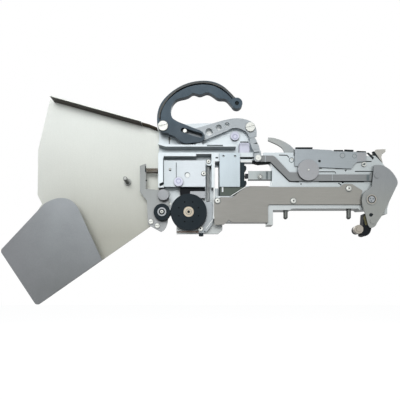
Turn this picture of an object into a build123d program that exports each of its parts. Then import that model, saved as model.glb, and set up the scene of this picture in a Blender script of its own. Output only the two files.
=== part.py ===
"""Tape feeder for a surface-mount placement machine, built as separate pieces in one frame.

X runs along the feeder from the reel end to the nose, Z is up, and the front faces -Y. The origin is on the
axis of the front locating pin, where that pin leaves the frame's base. Lengths are in millimetres.
"""
import math
import os

from build123d import *

os.makedirs("parts", exist_ok=True)

# Depth layers, counted from the pins' axis towards the back
frame_front = -5.0
frame_back = 8.0
web_thickness = 3.0
sheet = 1.5
plate = 1.8
back_sheet = 1.2
layer_gap = 0.4
running_gap = 0.05
seat_gap = 0.3
overrun = 1.0
web_front = frame_back - web_thickness
cover_front = frame_front - sheet
bar_back = frame_front - layer_gap
bar_front = bar_back - plate
nose_back = bar_front - layer_gap
nose_front = nose_back - plate

# Housing and beam of the frame
housing_left = -260.6
housing_width = 132.1
housing_top = 121.0
housing_foot = -32.6
land_top = 87.0
land_bottom = 28.5
band_top = 76.0
band_bottom = 71.0
beam_front_end = 56.0
beam_tail = 10.2
track_level = 71.5
track_start = -77.0
track_end = 34.0
beam_step_up = 4.5
beam_top = track_level + beam_step_up
housing_right = housing_left + housing_width
beam_left = housing_right + beam_tail
housing_height = housing_top - housing_foot

# Fasteners and pins
small_head_radius = 3.4
small_shank_radius = 1.5
head_height = 1.4
dome_share = 0.35

# Locating pins in the base
pin_radius = 3.0
pin_stem_radius = 2.4
pin_drop = 13.5
pin_socket = 9.0
pin_pitch = 86.5
pin_tip_share = 0.6
pin_relief_gap = 0.6
pin_relief_depth = 0.4

# Screw slots
screw_slot_share = 0.28
screw_slot_angle = 15.0


def facing(depth):
    """Sketch plane that faces the front at a depth: its x is the part's X and its y the part's Z."""
    return Plane.XZ.offset(-depth)


def spread(corner, size, shares):
    """Points given as shares of a width and a height, counted from the lower left corner."""
    return [(corner[0] + size[0] * across, corner[1] + size[1] * up) for across, up in shares]


def draw(points):
    """Face with straight edges in the sketch that is open."""
    with BuildLine() as outline:
        Polyline(*points, close=True)
    make_face(outline.edges())


def draw_runs(corner, size, runs):
    """Face whose outline joins runs of shares: two points make a line, and more make a smooth curve."""
    with BuildLine() as outline:
        for run in runs:
            places = spread(corner, size, run)
            if len(places) == 2:
                Line(*places)
            else:
                Spline(*places)
    make_face(outline.edges())


def box_points(left, right, bottom, top):
    """Corners of an upright rectangle."""
    return [(left, bottom), (right, bottom), (right, top), (left, top)]


def drill(places, radius, front, back):
    """Round holes along Y in the part that is open, from one depth to another."""
    with BuildSketch(facing(back)) as holes:
        with Locations(*places):
            Circle(radius)
    extrude(holes.sketch, amount=back - front, mode=Mode.SUBTRACT)


def post(places, radius, front, back):
    """Round posts along Y in the part that is open, from one depth to another."""
    with BuildSketch(facing(back)) as rounds:
        with Locations(*places):
            Circle(radius)
    extrude(rounds.sketch, amount=back - front)


def turned(angle, radius, centre):
    """Place at an angle, in degrees from +X, and a radius round a centre in the X-Z plane."""
    reach = math.radians(angle)
    return (centre[0] + radius * math.cos(reach), centre[1] + radius * math.sin(reach))


def screw_set(places, seat, head_radius, shank_radius, shank_length):
    """Slotted pan-head screws that share one node: heads stand in front of the seat depth."""
    slot_width = head_radius * screw_slot_share
    slot_depth = head_height * screw_slot_share
    with BuildPart() as screws:
        post(places, head_radius, seat - head_height, seat)
        rims = screws.faces().filter_by(Axis.Y).sort_by(Axis.Y)[: len(places)].edges()
        fillet(rims, head_height * dome_share)
        with BuildSketch(facing(seat - head_height + slot_depth)):
            with Locations(*places):
                Rectangle(head_radius + head_radius, slot_width, rotation=screw_slot_angle)
        extrude(amount=slot_depth + overrun, mode=Mode.SUBTRACT)
        post(places, shank_radius, seat, seat + shank_length)
    return screws.part


# Depths of the moving layers
handle_front = -6.8
handle_back = 0.0
shoe_back = -0.7
crank_front = 0.0
crank_back = crank_front + plate
bracket_front = -1.0
bracket_back = bracket_front + plate
lever_front = 0.0
lever_back = lever_front + plate

# Places of the pivots, each from the piece that carries it
handle_pivot_inset = 6.8
handle_pivot_drop = 10.1
handle_pivot = (housing_left + handle_pivot_inset, housing_top - handle_pivot_drop)
crank_pivot_inset = 6.3
crank_pivot_drop = 8.2
crank_pivot = (housing_right - crank_pivot_inset, housing_top - crank_pivot_drop)
link_pivot_out = 9.3
link_pivot_down = 45.8
link_pivot = (crank_pivot[0] + link_pivot_out, crank_pivot[1] - link_pivot_down)
nose_pivot_x = 26.6
nose_pivot_z = 11.1
nose_pivot = (nose_pivot_x, nose_pivot_z)
nose_pin_out = 7.3
nose_pin_up = 31.9
nose_pin = (nose_pivot[0] + nose_pin_out, nose_pivot[1] + nose_pin_up)
slot_pin_reach = 29.6
slot_pin_drop = 6.0
slot_pin = (handle_pivot[0] + slot_pin_reach, handle_pivot[1] - slot_pin_drop)

# Take-up rollers, in mesh with each other
big_roller_radius = 24.5
small_roller_radius = 11.5
roller_inset = 41.5
roller_level = -5.3
roller_front = -8.5
roller_width = 7.0
roller_back = roller_front + roller_width
big_roller_centre = (housing_left + roller_inset, roller_level)
small_roller_centre = (big_roller_centre[0] - big_roller_radius - small_roller_radius, roller_level)

# Window round the piston rod, and the pocket of the air cylinder
window_left = -142.8
window_right = -106.0
window_bottom = 30.5
window_top = 65.2
window_corner = 5.0
strip_right = -178.6
strip_top = 60.6
cylinder_pocket_left = -183.5
cylinder_pocket_bottom = 17.0
cylinder_pocket_top = 64.0
rod_level = 46.0
rod_radius = 2.0
block_height = 11.6
block_width = 6.0
block_travel = 8.0

# Shaft seats in the web
handle_shaft_radius = 4.0
crank_shaft_radius = 3.5
nose_shaft_radius = 4.0
roller_shaft_radius = 3.5
bracket_shaft_radius = 3.0
bracket_pivot_inset = 7.1
bracket_pivot_level = 18.3
bracket_pivot = (housing_left + bracket_pivot_inset, bracket_pivot_level)

# Sprocket that advances the tape
sprocket_teeth = 20
sprocket_root_radius = 12.0
sprocket_tip_radius = 13.3
sprocket_width = 1.2
sprocket_front = 4.7
sprocket_x = 18.5
sprocket_drop = 11.8
sprocket_centre = (sprocket_x, track_level - sprocket_drop)
sprocket_shaft_radius = 2.5
sprocket_pocket_gap = 1.2
sprocket_pocket_front = -0.5
ratchet_width = 2.4
ratchet_front = 1.2
ratchet_radius = 9.0

# Latch lever of the tape cover
latch_front = -3.8
latch_thickness = 2.4
latch_pivot_x = -78.8
latch_pivot_drop = 4.6
latch_pivot = (latch_pivot_x, track_level - latch_pivot_drop)
latch_pin_radius = 1.8
latch_slot_left = -100.0
latch_slot_right = -66.0
latch_slot_drop = 10.0
latch_slot_floor = track_level - latch_slot_drop

# Hinge of the tape cover
cover_hinge_x = -64.0
cover_hinge_drop = 11.0
cover_hinge = (cover_hinge_x, track_level - cover_hinge_drop)
cover_hinge_radius = 1.6

# Link guide disc
disc_radius = 14.2
disc_stud_radius = 3.0
disc_tip_radius = 1.3
disc_x = -58.0
disc_level = 50.7
disc_centre = (disc_x, disc_level)

# Radii of the other pins and heads
handle_head_radius = 6.8
crank_head_radius = 6.5
link_pin_radius = 2.5
slot_shank_radius = 2.0
nose_rivet_radius = 2.0
nose_hole_radius = 2.8
nose_hole_size = 2.1
nose_bush_radius = 7.0
shaft_head_radius = 3.2
clamp_roller_x = 10.6
clamp_roller_level = -28.6
clamp_roller_centre = (clamp_roller_x, clamp_roller_level)
clamp_roller_radius = 6.1
clamp_roller_back = -2.6
clamp_pin_radius = 2.0
hook_back = 2.0
bracket_spring_inset = 31.6

# Side cover and its fasteners
side_cover_screw_shares = [(0.024, 0.585), (0.536, 0.597), (0.909, 0.9)]
side_cover_left = -184.9
nose_cover_gap = 2.0
side_cover_right = nose_pivot[0] - nose_bush_radius - plate - nose_cover_gap
side_cover_width = side_cover_right - side_cover_left
side_cover_bottom = -22.6
side_cover_height = 55.4
side_cover_corner = (side_cover_left, side_cover_bottom)
side_cover_size = (side_cover_width, side_cover_height)
side_cover_screw_places = spread(side_cover_corner, side_cover_size, side_cover_screw_shares)
screw_grip = 5.0

# Inner panel over the take-up pocket
panel_left = -252.7
panel_right = -196.5
panel_bottom = 29.5
panel_top = 65.3
panel_size = (panel_right - panel_left, panel_top - panel_bottom)
panel_screw_shares = [(0.148, 0.64), (0.925, 0.47)]
panel_screw_places = spread((panel_left, panel_bottom), panel_size, panel_screw_shares)
panel_boss_share = (0.352, 0.17)
panel_boss_place = spread((panel_left, panel_bottom), panel_size, [panel_boss_share])
panel_hole_share = (0.57, 0.435)
panel_hole_place = spread((panel_left, panel_bottom), panel_size, [panel_hole_share])
panel_hole_radius = 3.0
panel_post_radius = 4.0
panel_boss_radius = 6.1

# Reel plate, riveted to the back of the housing
reel_plate_left = -467.0
reel_plate_right = -238.0
reel_plate_bottom = -128.5
reel_plate_top = 155.3
reel_plate_size = (reel_plate_right - reel_plate_left, reel_plate_top - reel_plate_bottom)
reel_rivet_radius = 2.2
reel_rivet_shares = [(0.965, 0.802), (0.965, 0.6436), (0.965, 0.4852)]
reel_rivet_places = spread((reel_plate_left, reel_plate_bottom), reel_plate_size, reel_rivet_shares)
reel_pin_share = (0.708, 0.594)
reel_pin_places = spread((reel_plate_left, reel_plate_bottom), reel_plate_size, [reel_pin_share])
reel_pin_radius = 3.0
reel_pin_front = -8.0
rivet_head = 0.5

# Cover on the back of the sprocket pocket, and other places on the frame
rear_cover_left = -24.0
rear_cover_drop = 31.5
rear_cover_bottom = track_level - rear_cover_drop
rear_cover_width = 62.0
rear_cover_height = 30.5
rear_cover_screw_shares = [(0.09, 0.2), (0.09, 0.84), (0.92, 0.12)]
rear_cover_size = (rear_cover_width, rear_cover_height)
rear_cover_screw_places = spread((rear_cover_left, rear_cover_bottom), rear_cover_size, rear_cover_screw_shares)
frame_boss_x = -155.4
frame_boss_level = 102.3
frame_boss_place = (frame_boss_x, frame_boss_level)
frame_boss_radius = 6.1
frame_boss_height = 2.5
band_groove_left = -149.7
band_groove_right = -129.5
band_groove_bottom = 67.0
band_groove_top = 70.0
band_groove_depth = 3.0

# Spring of the take-up lever
spring_anchor_inset = 69.0
spring_anchor_level = 62.0
spring_anchor = (housing_left + spring_anchor_inset, spring_anchor_level)

# Main frame: a thin web with thick lands in front of it
web_shares = [
    (0.0, 0.90),
    (0.0, 0.955),
    (0.035, 0.99),
    (0.16, 0.99),
    (0.43, 1.0),
    (1.0, 1.0),
    (1.0, 0.20),
    (0.665, 0.20),
    (0.665, 0.035),
    (0.62, 0.0),
    (0.183, 0.0),
    (0.183, 0.085),
    (0.133, 0.16),
    (0.08, 0.175),
    (0.02, 0.225),
    (0.0, 0.28),
]
beam_bottom_drop = 2.0
beam_step_left = -79.0
beam_step_right = 10.0
beam_step_run = 2.7
leg_right = -104.8
leg_bottom = -22.3
leg_radius = 4.0
leg_left = leg_right - screw_grip - beam_step_run
block_bottom = -18.0
block_left = -182.6
lever_sweep_radius = 36.0
nose_top_shares = [
    (0.0, 1.0),
    (0.42, 0.87),
    (1.0, 0.64),
    (1.0, 0.30),
    (0.74, 0.0),
    (0.74, -0.1),
    (0.56, -0.1),
    (0.5, 0.0),
]
nose_width = beam_front_end - track_end
nose_top_points = spread((track_end, 0), (nose_width, track_level), nose_top_shares)
rail_height = 3.0
rail_left = -256.4
rail_right = -155.0
rail_lift = 6.0
channel_left = panel_right
channel_right = -188.2
rib_right = -184.4
pocket_bottom = 15.0
pocket_left = panel_left - seat_gap
upper_pocket_left = -209.0
upper_pocket_top = 74.0
tab_x = -205.2
tab_centre = (tab_x, land_top)
tab_radius = 4.2
line_cut = 1.0
line_level_share = 0.75
line_shares = [(0.355, 0.46), (0.565, 0.69)]
tape_groove_width = 8.4
tape_groove_depth = 1.4
tape_back = 7.2

with BuildPart() as main_frame:
    with BuildSketch(facing(frame_back)):
        draw(spread((housing_left, housing_foot), (housing_width, housing_height), web_shares))
        draw(box_points(leg_left, beam_left, land_bottom, band_top))
    extrude(amount=web_thickness)
    with BuildSketch(facing(frame_back)):
        draw(
            [
                (beam_left, window_bottom),
                (beam_left, beam_top),
                (track_start, beam_top),
                (track_start, track_level),
                *nose_top_points,
                (beam_step_right + beam_step_run, -beam_bottom_drop),
                (beam_step_right, 0),
                (beam_step_left, 0),
                (beam_step_left - beam_step_run, -beam_bottom_drop),
                (leg_right, -beam_bottom_drop),
                (leg_right, leg_bottom),
                (leg_left, leg_bottom),
                (leg_left, block_bottom),
                (block_left, block_bottom),
                (block_left, window_bottom),
            ]
        )
        with Locations(big_roller_centre):
            Circle(lever_sweep_radius, mode=Mode.SUBTRACT)
    extrude(amount=frame_back - frame_front)
    with BuildSketch(facing(web_front)):
        draw(box_points(housing_left, housing_right, land_bottom, band_top))
        draw(
            [
                (housing_left, band_top),
                (rail_right, band_top),
                (rail_right, land_top),
                (rail_left, land_top),
                (housing_left, land_top + rail_height),
            ]
        )
        with Locations(tab_centre):
            Circle(tab_radius)
    extrude(amount=web_front - frame_front)
    with BuildSketch(facing(web_front)):
        draw(
            [
                (housing_left, land_top),
                (rail_left + rail_lift, land_top - rail_height),
                (rail_right + overrun, land_top - rail_height),
                (rail_right + overrun, band_top),
                (housing_left - overrun, band_top),
                (housing_left - overrun, land_top),
            ]
        )
        draw(box_points(pocket_left, channel_right, pocket_bottom, band_bottom))
        draw(box_points(upper_pocket_left, channel_right, band_bottom - overrun, upper_pocket_top))
        draw(box_points(cylinder_pocket_left, window_left + overrun, cylinder_pocket_bottom, cylinder_pocket_top))
    extrude(amount=web_front - frame_front + overrun, mode=Mode.SUBTRACT)
    with BuildSketch(facing(frame_back + overrun)):
        with BuildSketch(facing(frame_back + overrun), mode=Mode.PRIVATE) as window:
            draw(box_points(window_left, window_right, window_bottom, window_top))
            fillet(window.vertices().group_by(Axis.X)[-1], window_corner)
        add(window.sketch)
        draw(box_points(cylinder_pocket_left, strip_right, window_bottom, strip_top))
    extrude(amount=frame_back - frame_front + overrun + overrun, mode=Mode.SUBTRACT)
    post(panel_screw_places + panel_boss_place, panel_post_radius, frame_front + sheet, web_front)
    post([spring_anchor], panel_post_radius, frame_front, web_front)
    post([handle_pivot], handle_shaft_radius + plate, handle_back + seat_gap, web_front)
    post([crank_pivot], crank_shaft_radius + plate, crank_back + seat_gap, web_front)
    post([bracket_pivot], bracket_shaft_radius + plate, bracket_back + seat_gap, web_front)
    post([big_roller_centre], roller_shaft_radius + plate, lever_back + seat_gap, web_front)
    with BuildSketch(Plane.YZ.offset(window_right - overrun)):
        with Locations((0, rod_level)):
            Rectangle(block_width + seat_gap + seat_gap, block_height + seat_gap + seat_gap)
    extrude(amount=block_travel + screw_grip, mode=Mode.SUBTRACT)
    with BuildSketch(facing(frame_back + overrun)):
        with Locations(sprocket_centre):
            Circle(sprocket_tip_radius + sprocket_pocket_gap)
    extrude(amount=frame_back + overrun - sprocket_pocket_front, mode=Mode.SUBTRACT)
    with BuildSketch(facing(latch_front + latch_thickness + seat_gap)):
        draw(box_points(latch_slot_left, latch_slot_right, latch_slot_floor, beam_top + overrun))
    extrude(amount=latch_thickness + seat_gap + seat_gap, mode=Mode.SUBTRACT)
    with BuildSketch(Plane.XY.offset(track_level - tape_groove_depth)):
        with Locations((track_end, tape_back - tape_groove_width)):
            Rectangle(track_end - track_start, tape_groove_width, align=(Align.MAX, Align.MIN))
    extrude(amount=tape_groove_depth + overrun, mode=Mode.SUBTRACT)
    with BuildSketch(Plane.XY.offset(pin_socket)):
        with Locations((0, 0), (-pin_pitch, 0)):
            Circle(pin_stem_radius)
    extrude(amount=-pin_socket - pin_drop, mode=Mode.SUBTRACT)
    for pin_x, seat_level in ((0, 0), (-pin_pitch, -beam_bottom_drop)):
        with BuildSketch(Plane.XY.offset(seat_level + pin_relief_depth)):
            with Locations((pin_x, 0)):
                Circle(pin_radius + pin_relief_gap)
        extrude(amount=-pin_relief_depth - overrun, mode=Mode.SUBTRACT)
    with BuildSketch(facing(frame_front + line_cut)):
        for start_share, end_share in line_shares:
            line_left = beam_left + (beam_front_end - beam_left) * start_share
            line_right = beam_left + (beam_front_end - beam_left) * end_share
            line_level = track_level * line_level_share
            draw(box_points(line_left, line_right, line_level, line_level + line_cut))
    extrude(amount=line_cut + overrun, mode=Mode.SUBTRACT)
    drill([handle_pivot], handle_shaft_radius, frame_front, frame_back + overrun)
    drill([crank_pivot], crank_shaft_radius, frame_front, frame_back + overrun)
    drill([nose_pivot], nose_shaft_radius, frame_front - overrun, frame_back + overrun)
    drill([big_roller_centre], roller_shaft_radius, frame_front, frame_back + overrun)
    drill([bracket_pivot], bracket_shaft_radius, frame_front, frame_back + overrun)
    drill([sprocket_centre], sprocket_shaft_radius, frame_front - overrun, sprocket_pocket_front)
    drill([latch_pivot], latch_pin_radius, frame_front - overrun, latch_front + latch_thickness + screw_grip)
    drill([cover_hinge], cover_hinge_radius, frame_front - overrun, frame_back + overrun)
    drill([disc_centre], disc_stud_radius, frame_front - overrun, frame_front + screw_grip)
    drill(side_cover_screw_places, small_shank_radius, frame_front - overrun, frame_front + screw_grip)
    drill(panel_screw_places, small_shank_radius, frame_front, frame_front + sheet + screw_grip)
    drill(panel_boss_place, small_shank_radius, frame_front, frame_front + sheet + screw_grip)
    drill([spring_anchor], small_shank_radius, frame_front - overrun, frame_front + sheet + screw_grip)
    drill(panel_hole_place, panel_hole_radius, frame_front, frame_back + overrun)
    drill(reel_rivet_places, reel_rivet_radius, web_front - overrun, frame_back + overrun)
    drill(rear_cover_screw_places, small_shank_radius, frame_back - screw_grip, frame_back + overrun)
    drill([frame_boss_place], small_shank_radius, web_front - overrun, frame_back + overrun)
    with BuildSketch(facing(frame_front + band_groove_depth)):
        draw(box_points(band_groove_left, band_groove_right, band_groove_bottom, band_groove_top))
    extrude(amount=band_groove_depth + overrun, mode=Mode.SUBTRACT)
main_frame.part.label = "main_frame"
export_step(main_frame.part, "parts/main_frame.step")


# Side cover over the lower part of the frame
side_cover_shares = [
    (0.0, 0.608),
    (0.047, 0.682),
    (0.122, 0.67),
    (0.209, 0.913),
    (0.243, 0.951),
    (0.364, 0.951),
    (0.377, 0.926),
    (0.849, 0.926),
    (0.875, 1.0),
    (0.929, 1.0),
    (1.0, 0.841),
    (0.99, 0.682),
    (0.997, 0.536),
    (0.99, 0.5),
    (0.371, 0.5),
    (0.364, 0.439),
    (0.364, 0.06),
    (0.122, 0.06),
    (0.101, 0.121),
    (0.067, 0.011),
    (0.0035, 0.0),
]
with BuildPart() as side_cover:
    with BuildSketch(facing(frame_front)):
        draw(spread(side_cover_corner, side_cover_size, side_cover_shares))
    extrude(amount=sheet)
    drill(side_cover_screw_places, small_shank_radius, cover_front - overrun, frame_front + overrun)
side_cover.part.label = "side_cover"
export_step(side_cover.part, "parts/side_cover.step")

side_cover_screws = screw_set(side_cover_screw_places, cover_front, small_head_radius + layer_gap,
                              small_shank_radius, sheet + screw_grip)
side_cover_screws.label = "side_cover_screws"
export_step(side_cover_screws, "parts/side_cover_screws.step")

# Locating pins, whose thin stems are pressed into the base
def shouldered_pin(place, seat_level):
    """Pin along Z in the part that is open: a thin stem above the seat level and the working length below it."""
    with BuildSketch(Plane.XY.offset(pin_socket)) as stem:
        with Locations(place):
            Circle(pin_stem_radius)
    extrude(stem.sketch, amount=seat_level - pin_socket)
    with BuildSketch(Plane.XY.offset(seat_level)) as shank:
        with Locations(place):
            Circle(pin_radius)
    extrude(shank.sketch, amount=-pin_drop - seat_level)


with BuildPart() as front_locating_pin:
    shouldered_pin((0, 0), 0)
    chamfer(front_locating_pin.faces().sort_by(Axis.Z)[0].edges(), pin_radius * pin_tip_share)
front_locating_pin.part.label = "front_locating_pin"
export_step(front_locating_pin.part, "parts/front_locating_pin.step")

with BuildPart() as rear_locating_pin:
    shouldered_pin((-pin_pitch, 0), -beam_bottom_drop)
    chamfer(rear_locating_pin.faces().sort_by(Axis.Z)[0].edges(), pin_radius * pin_tip_share)
rear_locating_pin.part.label = "rear_locating_pin"
export_step(rear_locating_pin.part, "parts/rear_locating_pin.step")

# Reel plate with its top flange and the two bent walls of the reel pocket
reel_plate_shares = [
    (0.234, 1.0),
    (0.161, 0.7525),
    (0.158, 0.5317),
    (0.185, 0.4871),
    (0.0, 0.2663),
    (0.188, 0.005),
    (0.844, 0.3753),
    (0.926, 0.4357),
    (0.991, 0.4703),
    (0.991, 0.8297),
    (0.893, 0.8535),
    (0.8, 0.8733),
]
flange_start_share = (0.26, 0.9942)
flange_end_share = (0.8, 0.8733)
pocket_wall_shares = [(0.0, 0.2663), (0.188, 0.005), (0.551, 0.2101)]


def wall_points(start, end, thickness):
    """Corners of a straight wall whose outer face runs from a start to an end, with its body on the left."""
    run = (end[0] - start[0], end[1] - start[1])
    length = math.hypot(*run)
    side = (-run[1] / length * thickness, run[0] / length * thickness)
    return [start, end, (end[0] + side[0], end[1] + side[1]), (start[0] + side[0], start[1] + side[1])]


reel_corner = (reel_plate_left, reel_plate_bottom)
flange_ends = spread(reel_corner, reel_plate_size, [flange_end_share, flange_start_share])
wall_places = spread(reel_corner, reel_plate_size, pocket_wall_shares)
with BuildPart() as reel_plate:
    with BuildSketch(facing(frame_back + back_sheet)):
        draw(spread(reel_corner, reel_plate_size, reel_plate_shares))
    extrude(amount=back_sheet)
    with BuildSketch(facing(frame_back)):
        draw(wall_points(*flange_ends, back_sheet))
        draw(wall_points(wall_places[0], wall_places[1], back_sheet))
        draw(wall_points(wall_places[1], wall_places[2], back_sheet))
    extrude(amount=frame_back - frame_front)
    drill(reel_rivet_places, reel_rivet_radius, frame_back - overrun, frame_back + back_sheet + overrun)
    drill(reel_pin_places, reel_pin_radius, frame_back - overrun, frame_back + back_sheet + overrun)
reel_plate.part.label = "reel_plate"
export_step(reel_plate.part, "parts/reel_plate.step")

# Reel pin on the reel plate
with BuildPart() as reel_pin:
    post(reel_pin_places, reel_pin_radius, reel_pin_front, frame_back + back_sheet)
    post(reel_pin_places, reel_pin_radius + plate, frame_back - plate, frame_back)
    fillet(reel_pin.faces().sort_by(Axis.Y)[0].edges(), sheet)
reel_pin.part.label = "reel_pin"
export_step(reel_pin.part, "parts/reel_pin.step")

# Rivets that hold the reel plate to the housing
with BuildPart() as reel_plate_rivets:
    post(reel_rivet_places, reel_rivet_radius, web_front, frame_back + back_sheet)
    post(reel_rivet_places, reel_rivet_radius + sheet, frame_back + back_sheet, frame_back + back_sheet + rivet_head)
reel_plate_rivets.part.label = "reel_plate_rivets"
export_step(reel_plate_rivets.part, "parts/reel_plate_rivets.step")

# Cover of the reel pocket, spot-welded to the bent walls
pocket_cover_left = -474.4
pocket_cover_bottom = -132.2
pocket_cover_width = 138.0
pocket_cover_height = 145.9
pocket_cover_corner = 5.0
pocket_cover_runs = [
    [(0.0, 0.513), (0.358, 0.0)],
    [(0.358, 0.0), (1.0, 0.427)],
    [(1.0, 0.427), (0.784, 0.872)],
    [(0.784, 0.872), (0.752, 0.929), (0.7, 0.977)],
    [(0.7, 0.977), (0.638, 1.0), (0.568, 1.0), (0.497, 0.98), (0.431, 0.947)],
    [(0.431, 0.947), (0.0, 0.513)],
]
with BuildPart() as reel_pocket_cover:
    with BuildSketch(facing(frame_front)) as cover_face:
        draw_runs((pocket_cover_left, pocket_cover_bottom), (pocket_cover_width, pocket_cover_height),
                  pocket_cover_runs)
        fillet(cover_face.vertices().sort_by(Axis.Y)[0], pocket_cover_corner)
        fillet(cover_face.vertices().sort_by(Axis.X)[0], pocket_cover_corner)
    extrude(amount=back_sheet)
reel_pocket_cover.part.label = "reel_pocket_cover"
export_step(reel_pocket_cover.part, "parts/reel_pocket_cover.step")

# Handle: a thick grip with finger lobes, and a thin shoe in front of the crank lever
handle_overhang = 1.3
handle_drop = 33.7
handle_left = housing_left - handle_overhang
handle_bottom = housing_top - handle_drop
handle_width = 113.4
handle_height = 85.0
handle_end_share = (0.9524, 0.6435)
handle_end_radius = 7.5
handle_end_hole_radius = 2.8
handle_groove_width = 2.0
handle_groove_depth = 1.2
slot_angle = -17.0
slot_half_width = 3.1
slot_pin_play = 0.5
slot_back_reach = 2.6
slot_front_reach = 22.0
grip_runs = [
    [
        (0.012, 0.246), (0.0, 0.373), (0.036, 0.612), (0.155, 0.802), (0.333, 0.945), (0.536, 1.0),
        (0.69, 0.976), (0.833, 0.866), (0.929, 0.739), (0.99, 0.693),
    ],
    [(0.99, 0.693), (0.916, 0.58)],
    [
        (0.916, 0.58), (0.869, 0.642), (0.81, 0.709), (0.738, 0.716), (0.673, 0.768), (0.595, 0.813),
        (0.506, 0.78), (0.435, 0.805), (0.381, 0.765), (0.31, 0.733), (0.242, 0.707), (0.185, 0.627),
        (0.167, 0.532), (0.17, 0.453), (0.191, 0.396),
    ],
    [(0.191, 0.396), (0.191, 0.196)],
    [(0.191, 0.196), (0.14, 0.168)],
    [(0.14, 0.168), (0.048, 0.182)],
    [(0.048, 0.182), (0.012, 0.246)],
]
shoe_runs = [
    [(0.14, 0.361), (0.19, 0.396)],
    [(0.19, 0.396), (0.25, 0.349)],
    [(0.25, 0.349), (0.489, 0.222)],
    [(0.489, 0.222), (0.548, 0.174), (0.568, 0.119), (0.554, 0.064), (0.512, 0.024)],
    [(0.512, 0.024), (0.346, 0.0)],
    [(0.346, 0.0), (0.287, 0.032), (0.227, 0.095), (0.14, 0.145)],
    [(0.14, 0.145), (0.14, 0.361)],
]
groove_shares = [
    (0.041, 0.349),
    (0.073, 0.599),
    (0.181, 0.768),
    (0.347, 0.898),
    (0.536, 0.949),
    (0.682, 0.926),
    (0.809, 0.827),
    (0.895, 0.709),
]
handle_corner = (handle_left, handle_bottom)
handle_size = (handle_width, handle_height)
handle_end_places = spread(handle_corner, handle_size, [handle_end_share])
with BuildPart() as handle:
    with BuildSketch(facing(handle_back)):
        draw_runs(handle_corner, handle_size, grip_runs)
        with Locations(*handle_end_places):
            Circle(handle_end_radius)
    extrude(amount=handle_back - handle_front)
    with BuildSketch(facing(shoe_back)):
        draw_runs(handle_corner, handle_size, shoe_runs)
    extrude(amount=shoe_back - handle_front)
    with BuildSketch(facing(handle_front + handle_groove_depth), facing(handle_back)):
        with BuildLine():
            Spline(*spread(handle_corner, handle_size, groove_shares))
        trace(line_width=handle_groove_width)
    extrude(amount=handle_groove_depth, mode=Mode.SUBTRACT)
    with BuildSketch(facing(shoe_back)):
        with Locations(turned(slot_angle, slot_front_reach / 2 - slot_back_reach / 2, slot_pin)):
            SlotCenterToCenter(slot_front_reach + slot_back_reach, slot_half_width + slot_half_width,
                               rotation=slot_angle)
    extrude(amount=shoe_back - handle_front, mode=Mode.SUBTRACT)
    with BuildSketch(facing(shoe_back)):
        with Locations(tab_centre):
            Circle(tab_radius + tab_radius)
    extrude(amount=shoe_back - bar_back, mode=Mode.SUBTRACT)
    drill(handle_end_places, handle_end_hole_radius, handle_front - overrun, handle_back + overrun)
    drill([handle_pivot], handle_shaft_radius + running_gap, handle_front - overrun, handle_back + overrun)
handle.part.label = "handle"
export_step(handle.part, "parts/handle.step")


def headed_shaft(places, front, head_radius, head_length, radius, back):
    """Slotted heads from a front depth, with shanks behind them down to a back depth."""
    with BuildPart() as shaft:
        post(places, head_radius, front, front + head_length)
        rims = shaft.faces().filter_by(Axis.Y).sort_by(Axis.Y)[: len(places)].edges()
        fillet(rims, head_length * dome_share)
        with BuildSketch(facing(front + head_length * dome_share)):
            with Locations(*places):
                Rectangle(head_radius + head_radius, head_radius * screw_slot_share, rotation=screw_slot_angle)
        extrude(amount=head_length, mode=Mode.SUBTRACT)
        post(places, radius, front + head_length, back)
    return shaft.part


handle_shaft = headed_shaft([handle_pivot], handle_front - running_gap - head_height, handle_head_radius,
                            head_height, handle_shaft_radius, frame_back)
handle_shaft.label = "handle_shaft"
export_step(handle_shaft, "parts/handle_shaft.step")

# Crank lever: a lightened arm and a strap that steps forward to the link bar
crank_inset = 30.2
crank_outset = 7.1
crank_drop = 29.0
crank_left = housing_left + crank_inset
crank_bottom = housing_top - crank_drop
crank_width = housing_right + crank_outset - crank_left
crank_height = 33.5
arm_runs = [
    [
        (0.057, 0.564), (0.194, 0.597), (0.343, 0.722), (0.458, 0.836), (0.572, 0.934), (0.71, 0.994),
        (0.834, 0.931), (0.921, 0.764), (0.955, 0.507), (0.955, 0.239),
    ],
    [(0.955, 0.239), (0.861, 0.239)],
    [(0.861, 0.239), (0.844, 0.358), (0.761, 0.549), (0.684, 0.594), (0.591, 0.484)],
    [(0.591, 0.484), (0.294, 0.075)],
    [(0.294, 0.075), (0.206, 0.066), (0.132, 0.119), (0.057, 0.206)],
    [(0.057, 0.206), (0.018, 0.257), (0.002, 0.385), (0.018, 0.513), (0.057, 0.564)],
]
strap_runs = [
    [(0.955, 0.328), (1.0, -0.77), (0.985, -0.869), (0.949, -0.901), (0.91, -0.806)],
    [(0.91, -0.806), (0.911, -0.513)],
    [(0.911, -0.513), (0.873, -0.146)],
    [(0.873, -0.146), (0.861, 0.328)],
    [(0.861, 0.328), (0.955, 0.328)],
]
crank_hole_shares = [(0.358, 0.427), (0.481, 0.612), (0.586, 0.734)]
crank_hole_radius = 5.0
crank_hole_radius_shares = [1.0, 0.78, 0.6]
strap_step_shares = [
    (0.0, 0.269),
    (0.0, 0.209),
    (0.33, 0.075),
    (0.33, -0.045),
    (0.66, -0.179),
    (0.66, -0.373),
    (1.0, -0.493),
    (1.0, -0.925),
]
strap_back_drop = 0.7
crank_corner = (crank_left, crank_bottom)
crank_size = (crank_width, crank_height)
crank_hole_places = spread(crank_corner, crank_size, crank_hole_shares)
strap_places = spread((crank_front, crank_bottom), (nose_front - crank_front, crank_height), strap_step_shares)
strap_back_places = [(depth + plate, level - strap_back_drop) for depth, level in strap_places]
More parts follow.
